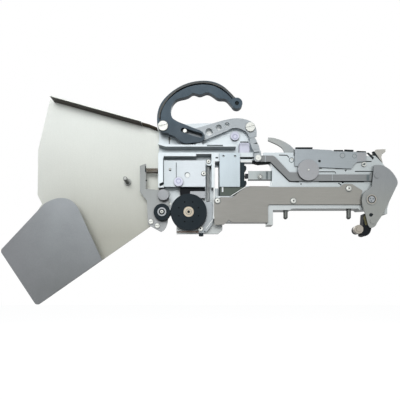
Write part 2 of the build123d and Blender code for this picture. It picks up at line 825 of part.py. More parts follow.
with BuildPart() as crank_lever:
    with BuildSketch(Plane.YZ.offset(housing_right - housing_width)):
        draw(strap_places + strap_back_places[::-1])
    extrude(amount=housing_width + housing_width)
    with BuildSketch(facing(crank_back + overrun)):
        draw_runs(crank_corner, crank_size, strap_runs)
    extrude(amount=crank_back - nose_front + overrun + overrun, mode=Mode.INTERSECT)
    with BuildSketch(facing(crank_back)):
        draw_runs(crank_corner, crank_size, arm_runs)
    extrude(amount=plate)
    for hole_place, radius_share in zip(crank_hole_places, crank_hole_radius_shares):
        drill([hole_place], crank_hole_radius * radius_share, crank_front, crank_back)
    drill([crank_pivot], crank_shaft_radius + running_gap, crank_front, crank_back)
    drill([slot_pin], slot_shank_radius, crank_front, crank_back)
    drill([link_pivot], link_pin_radius, nose_front, nose_back)
crank_lever.part.label = "crank_lever"
export_step(crank_lever.part, "parts/crank_lever.step")

crank_shaft = headed_shaft([crank_pivot], crank_front - running_gap - head_height, crank_head_radius,
                           head_height, crank_shaft_radius, frame_back)
crank_shaft.label = "crank_shaft"
export_step(crank_shaft, "parts/crank_shaft.step")

with BuildPart() as handle_slot_pin:
    post([slot_pin], slot_half_width - slot_pin_play, handle_front + layer_gap, crank_front)
    post([slot_pin], slot_shank_radius, crank_front, crank_back)
handle_slot_pin.part.label = "handle_slot_pin"
export_step(handle_slot_pin.part, "parts/handle_slot_pin.step")

with BuildPart() as link_pin:
    post([link_pivot], link_pin_radius + sheet, nose_front - rivet_head, nose_front)
    post([link_pivot], link_pin_radius, nose_front, bar_back)
link_pin.part.label = "link_pin"
export_step(link_pin.part, "parts/link_pin.step")

# Link bar from the crank lever to the nose
bar_end_reach = 6.2
bar_drop = 30.4
bar_left = link_pivot[0] - bar_end_reach
bar_bottom = link_pivot[1] - bar_drop
bar_width = nose_pin[0] + bar_end_reach - bar_left
bar_height = 36.9
bar_runs = [
    [(0.036, 0.706), (0.134, 0.706)],
    [(0.134, 0.706), (0.281, 0.02)],
    [(0.281, 0.02), (0.295, 0.0)],
    [(0.295, 0.0), (0.964, 0.0)],
    [(0.964, 0.0), (0.991, 0.051), (1.0, 0.173), (0.99, 0.293), (0.964, 0.341)],
    [(0.964, 0.341), (0.938, 0.32), (0.918, 0.238)],
    [(0.918, 0.238), (0.41, 0.238)],
    [(0.41, 0.238), (0.375, 0.322)],
    [(0.375, 0.322), (0.283, 0.322)],
    [(0.283, 0.322), (0.173, 0.878)],
    [(0.173, 0.878), (0.154, 0.93)],
    [(0.154, 0.93), (0.036, 0.94)],
    [(0.036, 0.94), (0.015, 0.9), (0.008, 0.823), (0.015, 0.746), (0.036, 0.706)],
]
with BuildPart() as link_bar:
    with BuildSketch(facing(bar_back)):
        draw_runs((bar_left, bar_bottom), (bar_width, bar_height), bar_runs)
    extrude(amount=plate)
    drill([link_pivot], link_pin_radius + running_gap, bar_front, bar_back)
    drill([nose_pin], nose_hole_radius, bar_front, bar_back)
link_bar.part.label = "link_bar"
export_step(link_bar.part, "parts/link_bar.step")

# Nose: plate, pins, hook arm and clamp roller, which turn together round the nose shaft
nose_left = 13.9
nose_bottom = -27.2
nose_width_over_all = 47.7
nose_height = 84.7
nose_runs = [
    [(0.338, 1.0), (0.535, 1.0)],
    [(0.535, 1.0), (0.774, 0.928), (0.929, 0.825), (1.0, 0.734), (0.958, 0.647)],
    [(0.958, 0.647), (0.788, 0.444)],
    [(0.788, 0.444), (0.704, 0.349)],
    [(0.704, 0.349), (0.535, 0.175)],
    [(0.535, 0.175), (0.421, 0.079)],
    [(0.421, 0.079), (0.338, 0.015), (0.224, 0.0)],
    [(0.224, 0.0), (0.168, 0.047)],
    [(0.168, 0.047), (0.084, 0.238)],
    [(0.084, 0.238), (0.0, 0.397), (0.0, 0.476), (0.057, 0.555), (0.197, 0.619)],
    [(0.197, 0.619), (0.281, 0.666)],
    [(0.281, 0.666), (0.296, 0.762), (0.323, 0.888)],
    [(0.323, 0.888), (0.338, 1.0)],
]
hook_runs = [
    [(0.071, 0.234), (0.212, 0.208)],
    [(0.212, 0.208), (0.4, 0.208)],
    [(0.4, 0.208), (0.451, 0.168)],
    [(0.451, 0.168), (0.279, 0.05)],
    [(0.279, 0.05), (0.27, -0.033), (0.2, -0.1), (0.1, -0.124), (0.0, -0.105)],
    [(0.0, -0.105), (0.02, 0.0)],
    [(0.02, 0.0), (0.05, 0.073)],
    [(0.05, 0.073), (0.071, 0.234)],
]
nose_hole_share = (0.266, 0.207)
nose_rivet_share = (0.296, 0.103)
nose_corner = (nose_left, nose_bottom)
nose_size = (nose_width_over_all, nose_height)
nose_hole_places = spread(nose_corner, nose_size, [nose_hole_share])
nose_rivet_places = [nose_pin] + spread(nose_corner, nose_size, [nose_rivet_share])
with BuildPart() as nose_plate:
    with BuildSketch(facing(nose_back)):
        draw_runs(nose_corner, nose_size, nose_runs)
    extrude(amount=plate)
    drill([nose_pivot], nose_bush_radius + running_gap, nose_front, nose_back)
    drill(nose_hole_places, nose_hole_size, nose_front, nose_back)
    drill(nose_rivet_places, nose_rivet_radius, nose_front, nose_back)
nose_plate.part.label = "nose_plate"
export_step(nose_plate.part, "parts/nose_plate.step")

nose_shaft_body = headed_shaft([nose_pivot], nose_front - running_gap - rivet_head, nose_bush_radius + rivet_head,
                               rivet_head, nose_bush_radius, nose_back + running_gap)
with BuildPart() as nose_shaft:
    add(nose_shaft_body)
    post([nose_pivot], nose_bush_radius + plate, nose_back + running_gap, frame_front)
    post([nose_pivot], nose_shaft_radius, frame_front, frame_back)
nose_shaft.part.label = "nose_shaft"
export_step(nose_shaft.part, "parts/nose_shaft.step")

with BuildPart() as nose_rivets:
    post(nose_rivet_places, nose_rivet_radius + sheet, nose_front - rivet_head, nose_front)
    post(nose_rivet_places, nose_rivet_radius, nose_front, bar_back)
nose_rivets.part.label = "nose_rivets"
export_step(nose_rivets.part, "parts/nose_rivets.step")

with BuildPart() as hook_arm:
    with BuildSketch(facing(hook_back)):
        draw_runs(nose_corner, nose_size, hook_runs)
        with Locations(clamp_roller_centre):
            Circle(clamp_roller_radius - layer_gap)
    extrude(amount=hook_back - nose_back)
    drill([clamp_roller_centre], clamp_roller_radius + seat_gap, nose_back - overrun, clamp_roller_back + seat_gap)
    drill([clamp_roller_centre], clamp_pin_radius, clamp_roller_back, hook_back)
    drill(nose_rivet_places, nose_rivet_radius, nose_back - overrun, bar_back)
    drill(nose_hole_places, nose_hole_size, nose_back - overrun, bar_back)
hook_arm.part.label = "hook_arm"
export_step(hook_arm.part, "parts/hook_arm.step")

with BuildPart() as clamp_roller:
    post([clamp_roller_centre], clamp_roller_radius, nose_back, clamp_roller_back)
    fillet(clamp_roller.faces().sort_by(Axis.Y)[0].edges(), layer_gap)
    drill([clamp_roller_centre], clamp_pin_radius + running_gap, nose_back, clamp_roller_back)
clamp_roller.part.label = "clamp_roller"
export_step(clamp_roller.part, "parts/clamp_roller.step")

with BuildPart() as clamp_roller_pin:
    post([clamp_roller_centre], clamp_pin_radius + sheet, nose_back - rivet_head - running_gap, nose_back - running_gap)
    post([clamp_roller_centre], clamp_pin_radius, nose_back - running_gap, hook_back)
clamp_roller_pin.part.label = "clamp_roller_pin"
export_step(clamp_roller_pin.part, "parts/clamp_roller_pin.step")

# Guide disc that keeps the link bar against the frame
with BuildPart() as guide_disc:
    post([disc_centre], disc_radius, nose_front, nose_back)
    fillet(guide_disc.faces().sort_by(Axis.Y)[0].edges(), layer_gap)
    drill([disc_centre], disc_tip_radius, nose_front, nose_back)
guide_disc.part.label = "guide_disc"
export_step(guide_disc.part, "parts/guide_disc.step")

with BuildPart() as disc_stud:
    post([disc_centre], disc_tip_radius, nose_front - rivet_head, nose_back)
    post([disc_centre], disc_stud_radius + plate / 2, nose_back, frame_front)
    post([disc_centre], disc_stud_radius, frame_front, frame_front + screw_grip)
disc_stud.part.label = "disc_stud"
export_step(disc_stud.part, "parts/disc_stud.step")

# Tape cover over the nose: a front skirt, a top plate and a rear skirt on one hinge pin
skirt_left = -75.6
skirt_drop = 18.0
skirt_bottom = track_level - skirt_drop
skirt_width = 105.4
skirt_height = 27.7
skirt_runs = [
    [(0.0, 1.0), (0.462, 0.913)],
    [(0.462, 0.913), (0.512, 0.863)],
    [(0.512, 0.863), (0.919, 0.8)],
    [(0.919, 0.8), (0.919, 0.362)],
    [(0.919, 0.362), (0.795, 0.318)],
    [(0.795, 0.318), (0.759, 0.177), (0.731, 0.0)],
    [(0.731, 0.0), (0.295, 0.076)],
    [(0.295, 0.076), (0.0, 0.123)],
    [(0.0, 0.123), (0.0, 1.0)],
]
skirt_back = -5.3
skirt_front = -6.5
rear_skirt_left = -70.0
rear_skirt_drop = 16.5
rear_skirt_rise = 1.5
rear_skirt_bottom = track_level - rear_skirt_drop
rear_skirt_ear = -46.0
rear_skirt_level = track_level + rear_skirt_rise
cover_plate_shares = [(0.1, 0.905), (0.907, 0.79), (0.907, 0.833), (0.1, 0.948)]
skirt_corner = (skirt_left, skirt_bottom)
skirt_size = (skirt_width, skirt_height)
cover_plate_points = spread(skirt_corner, skirt_size, cover_plate_shares)
cover_hole_share = (0.32, 0.365)
with BuildPart() as tape_cover:
    with BuildSketch(facing(skirt_back)):
        draw_runs(skirt_corner, skirt_size, skirt_runs)
    extrude(amount=skirt_back - skirt_front)
    with BuildSketch(facing(frame_back + seat_gap + back_sheet)):
        draw(cover_plate_points)
    extrude(amount=frame_back + seat_gap + back_sheet - skirt_back)
    with BuildSketch(facing(frame_back + seat_gap + back_sheet)):
        draw(
            [
                (rear_skirt_left, rear_skirt_bottom),
                (rear_skirt_ear, rear_skirt_bottom),
                (rear_skirt_ear, rear_skirt_level),
                (cover_plate_points[2][0], rear_skirt_level),
                cover_plate_points[2],
                cover_plate_points[3],
                (rear_skirt_left, cover_plate_points[3][1]),
            ]
        )
    extrude(amount=back_sheet)
    drill([cover_hinge], cover_hinge_radius + running_gap, skirt_front - overrun, frame_back + screw_grip)
    drill(spread(skirt_corner, skirt_size, [cover_hole_share]), small_shank_radius, skirt_front, skirt_back)
tape_cover.part.label = "tape_cover"
export_step(tape_cover.part, "parts/tape_cover.step")

with BuildPart() as cover_hinge_pin:
    post([cover_hinge], cover_hinge_radius, skirt_front, frame_back + seat_gap + back_sheet)
cover_hinge_pin.part.label = "cover_hinge_pin"
export_step(cover_hinge_pin.part, "parts/cover_hinge_pin.step")

# Latch lever of the tape cover
latch_reach = 32.1
latch_foot = 5.0
latch_left = latch_pivot[0] - latch_reach
latch_bottom = latch_pivot[1] - latch_foot
latch_width = 41.0
latch_height = 35.2
latch_runs = [
    [(-0.005, 1.0), (0.22, 0.972), (0.554, 0.821), (0.753, 0.667), (0.932, 0.4)],
    [(0.932, 0.4), (0.905, 0.142)],
    [(0.905, 0.142), (0.868, 0.043), (0.783, 0.0), (0.698, 0.043), (0.661, 0.142)],
    [(0.661, 0.142), (0.53, 0.44)],
    [(0.53, 0.44), (0.45, 0.6), (0.289, 0.724), (0.13, 0.81), (-0.01, 0.88)],
    [(-0.01, 0.88), (-0.005, 1.0)],
]
with BuildPart() as cover_latch_lever:
    with BuildSketch(facing(latch_front + latch_thickness)):
        draw_runs((latch_left, latch_bottom), (latch_width, latch_height), latch_runs)
    extrude(amount=latch_thickness)
    drill([latch_pivot], latch_pin_radius + running_gap, latch_front, latch_front + latch_thickness)
cover_latch_lever.part.label = "cover_latch_lever"
export_step(cover_latch_lever.part, "parts/cover_latch_lever.step")

with BuildPart() as latch_pin:
    post([latch_pivot], latch_pin_radius, frame_front, latch_front + latch_thickness + screw_grip)
latch_pin.part.label = "latch_pin"
export_step(latch_pin.part, "parts/latch_pin.step")

# Sprocket and ratchet wheel on one shaft
sprocket_step = 360 / sprocket_teeth
tooth_root_share = 0.28
tooth_tip_share = 0.1
ratchet_teeth = 20
ratchet_root_radius = 7.8
with BuildPart() as sprocket:
    post([sprocket_centre], sprocket_root_radius, sprocket_front, sprocket_front + sprocket_width)
    with BuildSketch(facing(sprocket_front + sprocket_width)):
        for tooth in range(sprocket_teeth):
            middle = tooth * sprocket_step
            draw(
                [
                    turned(middle - sprocket_step * tooth_root_share, sprocket_root_radius - overrun, sprocket_centre),
                    turned(middle + sprocket_step * tooth_root_share, sprocket_root_radius - overrun, sprocket_centre),
                    turned(middle + sprocket_step * tooth_tip_share, sprocket_tip_radius, sprocket_centre),
                    turned(middle - sprocket_step * tooth_tip_share, sprocket_tip_radius, sprocket_centre),
                ]
            )
    extrude(amount=sprocket_width)
    drill([sprocket_centre], sprocket_shaft_radius - running_gap, sprocket_front, sprocket_front + sprocket_width)
sprocket.part.label = "sprocket"
export_step(sprocket.part, "parts/sprocket.step")

ratchet_points = []
for tooth in range(ratchet_teeth):
    ratchet_angle = tooth * 360 / ratchet_teeth
    ratchet_points.append(turned(ratchet_angle, ratchet_root_radius, sprocket_centre))
    ratchet_points.append(turned(ratchet_angle, ratchet_radius, sprocket_centre))
with BuildPart() as ratchet_wheel:
    with BuildSketch(facing(ratchet_front + ratchet_width)):
        draw(ratchet_points)
    extrude(amount=ratchet_width)
    post([sprocket_centre], ratchet_root_radius - plate, ratchet_front + ratchet_width, sprocket_front)
    drill([sprocket_centre], sprocket_shaft_radius - running_gap, ratchet_front, sprocket_front)
ratchet_wheel.part.label = "ratchet_wheel"
export_step(ratchet_wheel.part, "parts/ratchet_wheel.step")

sprocket_shaft = headed_shaft([sprocket_centre], frame_front - running_gap - sheet + layer_gap, shaft_head_radius,
                              sheet - layer_gap, sprocket_shaft_radius - running_gap, frame_back + back_sheet)
sprocket_shaft.label = "sprocket_shaft"
export_step(sprocket_shaft, "parts/sprocket_shaft.step")

with BuildPart() as rear_cover:
    with BuildSketch(facing(frame_back + back_sheet)):
        draw(box_points(rear_cover_left, rear_cover_left + rear_cover_width, rear_cover_bottom,
                        rear_cover_bottom + rear_cover_height))
    extrude(amount=back_sheet)
    drill([sprocket_centre], sprocket_shaft_radius, frame_back, frame_back + back_sheet)
    drill(rear_cover_screw_places, small_shank_radius, frame_back, frame_back + back_sheet)
rear_cover.part.label = "rear_cover"
export_step(rear_cover.part, "parts/rear_cover.step")

with BuildPart() as rear_cover_screws:
    post(rear_cover_screw_places, small_head_radius, frame_back + back_sheet, frame_back + back_sheet + rivet_head)
    post(rear_cover_screw_places, small_shank_radius, frame_back - screw_grip, frame_back + back_sheet)
rear_cover_screws.part.label = "rear_cover_screws"
export_step(rear_cover_screws.part, "parts/rear_cover_screws.step")

# Guide that leads the empty tape down over the nose
exit_overlap = 1.4
exit_drop = 11.7
exit_left = track_end - exit_overlap
exit_bottom = track_level - exit_drop
exit_width = 16.4
exit_height = 21.8
exit_shares = [
    (0.0, 0.752),
    (0.207, 0.972),
    (1.0, 1.0),
    (1.0, 0.826),
    (0.75, 0.72),
    (0.652, 0.5),
    (0.793, 0.096),
    (0.628, 0.0),
    (0.329, 0.284),
]
with BuildPart() as tape_exit_guide:
    with BuildSketch(facing(web_front)):
        draw(spread((exit_left, exit_bottom), (exit_width, exit_height), exit_shares))
    extrude(amount=web_front + plate + back_sheet)
    with BuildSketch(facing(frame_back)):
        draw(nose_top_points)
    extrude(amount=frame_back - frame_front, mode=Mode.SUBTRACT)
tape_exit_guide.part.label = "tape_exit_guide"
export_step(tape_exit_guide.part, "parts/tape_exit_guide.step")

# Air cylinder with its piston, rod and rod block
cylinder_left = -178.0
cylinder_right = -143.5
cylinder_bottom = 17.0
cylinder_top = 63.8
bore_left = -174.0
bore_right = -150.0
bore_radius = 3.5
piston_left = -172.0
piston_length = 6.0
rod_seat = 6.0
block_left = -138.0
block_right = -104.0
block_bottom = 40.2
rod_screw_share = (0.476, 0.31)
rod_screw_places = spread((block_left, block_bottom), (block_right - block_left, block_height), [rod_screw_share])
cylinder_plate_left = -177.4
cylinder_plate_right = -149.7
cylinder_plate_bottom = 29.0
cylinder_plate_top = 75.0
cylinder_plate_hole_shares = [(0.195, 0.9), (0.76, 0.9)]
cylinder_plate_size = (cylinder_plate_right - cylinder_plate_left, cylinder_plate_top - cylinder_plate_bottom)
cylinder_hole_places = spread((cylinder_plate_left, cylinder_plate_bottom), cylinder_plate_size,
                              cylinder_plate_hole_shares)
with BuildPart() as cylinder_body:
    with BuildSketch(facing(web_front)):
        draw(box_points(cylinder_left, cylinder_right, cylinder_bottom, cylinder_top))
    extrude(amount=web_front - frame_front)
    with BuildSketch(Plane.YZ.offset(bore_left)):
        with Locations((0, rod_level)):
            Circle(bore_radius)
    extrude(amount=bore_right - bore_left, mode=Mode.SUBTRACT)
    with BuildSketch(Plane.YZ.offset(bore_right)):
        with Locations((0, rod_level)):
            Circle(rod_radius + running_gap)
    extrude(amount=cylinder_right - bore_right, mode=Mode.SUBTRACT)
cylinder_body.part.label = "cylinder_body"
export_step(cylinder_body.part, "parts/cylinder_body.step")

with BuildPart() as cylinder_plate:
    with BuildSketch(facing(frame_front)):
        draw(box_points(cylinder_plate_left, cylinder_plate_right, cylinder_plate_bottom, cylinder_plate_top))
    extrude(amount=sheet)
    drill(cylinder_hole_places, small_shank_radius, cover_front, frame_front)
cylinder_plate.part.label = "cylinder_plate"
export_step(cylinder_plate.part, "parts/cylinder_plate.step")

with BuildPart() as piston:
    with BuildSketch(Plane.YZ.offset(piston_left)):
        with Locations((0, rod_level)):
            Circle(bore_radius - running_gap)
            Circle(rod_radius, mode=Mode.SUBTRACT)
    extrude(amount=piston_length)
piston.part.label = "piston"
export_step(piston.part, "parts/piston.step")

with BuildPart() as piston_rod:
    with BuildSketch(Plane.YZ.offset(piston_left)):
        with Locations((0, rod_level)):
            Circle(rod_radius)
    extrude(amount=block_left + rod_seat - piston_left)
piston_rod.part.label = "piston_rod"
export_step(piston_rod.part, "parts/piston_rod.step")

with BuildPart() as rod_block:
    with BuildSketch(facing(block_width / 2)):
        draw(box_points(block_left, block_right, block_bottom, block_bottom + block_height))
    extrude(amount=block_width)
    with BuildSketch(Plane.YZ.offset(block_left)):
        with Locations((0, rod_level)):
            Circle(rod_radius)
    extrude(amount=rod_seat, mode=Mode.SUBTRACT)
    drill(rod_screw_places, small_shank_radius, -block_width / 2, block_width / 2)
rod_block.part.label = "rod_block"
export_step(rod_block.part, "parts/rod_block.step")

rod_screw = screw_set(rod_screw_places, -block_width / 2, small_head_radius, small_shank_radius, block_width)
rod_screw.label = "rod_screw"
export_step(rod_screw, "parts/rod_screw.step")

# Take-up rollers
hub_radius = 6.9
pinch_shaft_radius = 2.5
pinch_head_radius = 5.9
with BuildPart() as take_up_roller:
    post([big_roller_centre], big_roller_radius, roller_front, roller_back)
    fillet(take_up_roller.faces().sort_by(Axis.Y)[0].edges(), layer_gap)
    drill([big_roller_centre], hub_radius, roller_front, roller_back)
take_up_roller.part.label = "take_up_roller"
export_step(take_up_roller.part, "parts/take_up_roller.step")

with BuildPart() as take_up_hub:
    post([big_roller_centre], hub_radius, roller_front - layer_gap, roller_back + layer_gap)
    drill([big_roller_centre], roller_shaft_radius + running_gap, roller_front - layer_gap, roller_back + layer_gap)
take_up_hub.part.label = "take_up_hub"
export_step(take_up_hub.part, "parts/take_up_hub.step")

with BuildPart() as take_up_shaft:
    post([big_roller_centre], roller_shaft_radius, roller_front - layer_gap, frame_back)
take_up_shaft.part.label = "take_up_shaft"
export_step(take_up_shaft.part, "parts/take_up_shaft.step")

with BuildPart() as pinch_roller:
    post([small_roller_centre], small_roller_radius - seat_gap, roller_front, roller_back)
    fillet(pinch_roller.faces().sort_by(Axis.Y)[0].edges(), layer_gap)
    drill([small_roller_centre], pinch_shaft_radius + running_gap, roller_front, roller_back)
pinch_roller.part.label = "pinch_roller"
export_step(pinch_roller.part, "parts/pinch_roller.step")

pinch_head_front = roller_front - running_gap - rivet_head
pinch_roller_screw = headed_shaft([small_roller_centre], pinch_head_front, pinch_head_radius, rivet_head,
                                  pinch_shaft_radius, bracket_back)
pinch_roller_screw.label = "pinch_roller_screw"
export_step(pinch_roller_screw, "parts/pinch_roller_screw.step")

# Release bracket that carries the pinch roller
bracket_left = -286.1
bracket_bottom = -30.9
bracket_width = 39.8
bracket_height = 93.3
bracket_runs = [
    [(0.0, 0.971), (0.206, 1.0)],
    [(0.206, 1.0), (0.206, 0.632)],
    [(0.206, 0.632), (0.621, 0.617)],
    [(0.621, 0.617), (1.0, 0.603)],
    [(1.0, 0.603), (1.0, 0.471)],
    [(1.0, 0.471), (0.965, 0.162)],
    [(0.965, 0.162), (0.907, 0.079), (0.827, 0.029), (0.724, 0.0)],
    [(0.724, 0.0), (0.344, 0.088)],
    [(0.344, 0.088), (0.274, 0.118)],
    [(0.274, 0.118), (0.241, 0.456)],
    [(0.241, 0.456), (0.0, 0.588)],
    [(0.0, 0.588), (0.0, 0.971)],
]
knob_radius = 7.6
bracket_screw_shares = [(0.38, 0.147), (0.603, 0.088)]
bracket_screw_places = spread((bracket_left, bracket_bottom), (bracket_width, bracket_height), bracket_screw_shares)
with BuildPart() as release_bracket:
    with BuildSketch(facing(bracket_back)):
        draw_runs((bracket_left, bracket_bottom), (bracket_width, bracket_height), bracket_runs)
    extrude(amount=plate)
    drill([bracket_pivot], bracket_shaft_radius + running_gap, bracket_front, bracket_back)
    drill([small_roller_centre], pinch_shaft_radius, bracket_front, bracket_back)
    drill(bracket_screw_places, small_shank_radius, bracket_front, bracket_back)
release_bracket.part.label = "release_bracket"
export_step(release_bracket.part, "parts/release_bracket.step")

with BuildPart() as bracket_shaft:
    post([bracket_pivot], knob_radius, cover_front, bracket_front - running_gap)
    fillet(bracket_shaft.faces().sort_by(Axis.Y)[0].edges(), head_height * dome_share)
    post([bracket_pivot], bracket_shaft_radius, bracket_front - running_gap, frame_back)
bracket_shaft.part.label = "bracket_shaft"
export_step(bracket_shaft.part, "parts/bracket_shaft.step")

bracket_screws = screw_set(bracket_screw_places, bracket_front, small_head_radius, small_shank_radius, plate)
bracket_screws.label = "bracket_screws"
export_step(bracket_screws, "parts/bracket_screws.step")

# Springs that the brackets pull on
spring_root_share = 0.72


def spring_body(plane, length, radius, turns):
    """Stepped sleeve that stands for a coil spring along a plane's y direction."""
    rise = length / turns
    points = [(0, 0)]
    for turn in range(turns):
        points.append((radius * spring_root_share, turn * rise))
        points.append((radius, turn * rise + rise / 2))
    points.append((radius * spring_root_share, length))
    points.append((0, length))
    with BuildPart() as sleeve:
        with BuildSketch(plane):
            draw(points)
        revolve(axis=Axis(plane.origin, plane.y_dir))
    return sleeve.part


bracket_spring_level = 53.0
bracket_spring_radius = 3.6
bracket_spring_turns = 5
bracket_spring_start = bracket_left + (bracket_width - bracket_spring_inset)
bracket_spring_plane = Plane(origin=(bracket_spring_start, 0, bracket_spring_level), x_dir=(0, 0, 1), z_dir=(0, 1, 0))
bracket_spring = spring_body(bracket_spring_plane, housing_left - bracket_spring_start, bracket_spring_radius,
                             bracket_spring_turns)
bracket_spring.label = "bracket_spring"
export_step(bracket_spring, "parts/bracket_spring.step")

# Take-up lever behind the big roller, its rubber bumper and its spring
lever_hub_radius = 8.0
lever_tab_gap = 4.6
lever_tab_width = 8.5
lever_tab_height = 15.6
lever_sector_radius = 35.0
lever_sector_angles = (-48.0, 35.0)
lever_tab_left = big_roller_centre[0] + lever_hub_radius + lever_tab_gap
lever_tab_right = lever_tab_left + lever_tab_width
lever_tab_bottom = housing_foot
lever_tab_top = lever_tab_bottom + lever_tab_height
lever_screw_share = (0.4, 0.391)
lever_screw_places = spread((lever_tab_left, lever_tab_bottom), (lever_tab_width, lever_tab_height),
                            [lever_screw_share])
bumper_radius = 3.2
bumper_height = 3.9
spring_level = 10.5
spring_x = -192.7
spring_radius = 2.4
spring_turns = 15
with BuildPart() as take_up_lever:
    with BuildSketch(facing(lever_back)):
        with Locations(big_roller_centre):
            Circle(lever_hub_radius)
        with BuildLine():
            first = turned(lever_sector_angles[0], lever_sector_radius, big_roller_centre)
            middle = turned(sum(lever_sector_angles) / 2, lever_sector_radius, big_roller_centre)
            last = turned(lever_sector_angles[1], lever_sector_radius, big_roller_centre)
            ThreePointArc(first, middle, last)
            Line(last, big_roller_centre)
            Line(big_roller_centre, first)
        make_face()
        draw(box_points(lever_tab_left, lever_tab_right, lever_tab_bottom, lever_tab_top))
    extrude(amount=plate)
    with BuildSketch(facing(lever_back)):
        with Locations((big_roller_centre[0] + lever_hub_radius, spring_level)):
            Rectangle(lever_sector_radius, lever_sector_radius, align=(Align.MIN, Align.MIN))
    extrude(amount=plate, mode=Mode.SUBTRACT)
    drill([big_roller_centre], roller_shaft_radius + running_gap, lever_front, lever_back)
    drill(lever_screw_places, small_shank_radius, lever_front, lever_back)
take_up_lever.part.label = "take_up_lever"
export_step(take_up_lever.part, "parts/take_up_lever.step")

lever_screw = screw_set(lever_screw_places, lever_front, small_head_radius, small_shank_radius, plate)
lever_screw.label = "lever_screw"
export_step(lever_screw, "parts/lever_screw.step")

with BuildPart() as lever_bumper:
    with BuildSketch(Plane.XY.offset(lever_tab_bottom)):
        with Locations((lever_tab_left + lever_tab_width / 2, lever_front + plate / 2)):
            Circle(bumper_radius)
    extrude(amount=-bumper_height)
lever_bumper.part.label = "lever_bumper"
export_step(lever_bumper.part, "parts/lever_bumper.step")

tension_spring_plane = Plane(origin=(spring_x, lever_front, spring_level), x_dir=(1, 0, 0), z_dir=(0, -1, 0))
tension_spring = spring_body(tension_spring_plane, spring_anchor_level - panel_post_radius - spring_level,
                             spring_radius, spring_turns)
tension_spring.label = "tension_spring"
export_step(tension_spring, "parts/tension_spring.step")

# Inner panel, its screws, and the blocks inside the housing
with BuildPart() as inner_panel:
    with BuildSketch(facing(frame_front + sheet)):
        draw(box_points(panel_left, panel_right, panel_bottom, panel_top))
    extrude(amount=sheet)
    drill(panel_screw_places + panel_boss_place, small_shank_radius, frame_front, frame_front + sheet)
    drill(panel_hole_place, panel_hole_radius, frame_front, frame_front + sheet)
inner_panel.part.label = "inner_panel"
export_step(inner_panel.part, "parts/inner_panel.step")

panel_screws = screw_set(panel_screw_places + [spring_anchor], frame_front, small_head_radius, small_shank_radius,
                         sheet + screw_grip)
panel_screws.label = "panel_screws"
export_step(panel_screws, "parts/panel_screws.step")

with BuildPart() as round_bosses:
    post(panel_boss_place, frame_boss_radius, frame_front - frame_boss_height, frame_front)
    post(panel_boss_place, small_shank_radius, frame_front, frame_front + sheet)
    post([frame_boss_place], frame_boss_radius, web_front - frame_boss_height, web_front)
    post([frame_boss_place], small_shank_radius, web_front, web_front + sheet)
round_bosses.part.label = "round_bosses"
export_step(round_bosses.part, "parts/round_bosses.step")

peel_left = -231.0
peel_step = -217.3
peel_right = -197.0
peel_bottom = 19.8
peel_middle = 24.8
peel_top = 30.0
peel_block_bottom = 15.3
with BuildPart() as peel_guide:
    with BuildSketch(facing(web_front)):
        draw(box_points(peel_left, peel_step, peel_bottom, peel_top))
        draw(box_points(peel_step, peel_right, peel_middle, peel_top))
    extrude(amount=web_front - bracket_front)
peel_guide.part.label = "peel_guide"
export_step(peel_guide.part, "parts/peel_guide.step")

with BuildPart() as peel_block:
    with BuildSketch(facing(web_front)):
        draw(box_points(peel_step, peel_right, peel_block_bottom, peel_middle))
    extrude(amount=web_front - bracket_front)
peel_block.part.label = "peel_block"
export_step(peel_block.part, "parts/peel_block.step")

guide_block_left = -149.7
guide_block_right = -136.0
guide_block_top = 91.0
with BuildPart() as guide_block:
    with BuildSketch(facing(web_front)):
        draw(box_points(guide_block_left, guide_block_right, band_top, guide_block_top))
    extrude(amount=web_front - bracket_front)
guide_block.part.label = "guide_block"
export_step(guide_block.part, "parts/guide_block.step")
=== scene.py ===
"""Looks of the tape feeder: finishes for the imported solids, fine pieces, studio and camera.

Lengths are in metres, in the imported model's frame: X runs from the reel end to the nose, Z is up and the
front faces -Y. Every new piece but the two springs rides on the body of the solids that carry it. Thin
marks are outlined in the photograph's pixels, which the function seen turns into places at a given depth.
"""
import logging
import math
from dataclasses import dataclass, field
from enum import Enum
from typing import Iterable, Mapping, Optional, Sequence

import bmesh
import bpy
from mathutils import Matrix, Vector


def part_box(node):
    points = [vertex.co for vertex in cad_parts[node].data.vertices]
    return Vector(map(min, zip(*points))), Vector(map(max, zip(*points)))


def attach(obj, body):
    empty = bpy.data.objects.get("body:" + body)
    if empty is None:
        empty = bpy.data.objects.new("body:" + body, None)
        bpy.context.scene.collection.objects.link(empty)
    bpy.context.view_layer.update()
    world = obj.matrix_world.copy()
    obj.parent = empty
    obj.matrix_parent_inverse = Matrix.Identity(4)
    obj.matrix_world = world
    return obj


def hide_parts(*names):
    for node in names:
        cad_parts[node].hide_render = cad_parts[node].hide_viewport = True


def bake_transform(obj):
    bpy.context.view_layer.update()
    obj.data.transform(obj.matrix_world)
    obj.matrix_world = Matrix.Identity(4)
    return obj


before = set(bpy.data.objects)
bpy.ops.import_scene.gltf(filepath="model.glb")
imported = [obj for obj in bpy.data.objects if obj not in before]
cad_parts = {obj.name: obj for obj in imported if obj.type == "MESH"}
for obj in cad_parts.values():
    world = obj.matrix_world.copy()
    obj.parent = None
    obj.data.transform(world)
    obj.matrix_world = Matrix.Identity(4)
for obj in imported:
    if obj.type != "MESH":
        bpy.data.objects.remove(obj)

log = logging.getLogger("feeder")
MM = 0.001

# Camera: where its eye is, its focal length in pixels, and the row of the photograph at its eye level.
PHOTO_SIDE = 400
EYE = Vector((-0.2038, -0.431, -0.1105))
FOCAL_PIXELS = 314.07
EYE_ROW = 290.0

# Wear and painted light that every finish shares: how far the brightened edges and the painted shade in corners reach,
# and how fine the specks are.
EDGE_REACH = 0.9 * MM
CREVICE_REACH = 3 * MM
SPECK_SCALE = 420.0

# Thin marks: how far a round one goes into its surface, and the widest broken edge.
MARK_SINK = 0.2 * MM
MARK_EDGE = 0.1 * MM

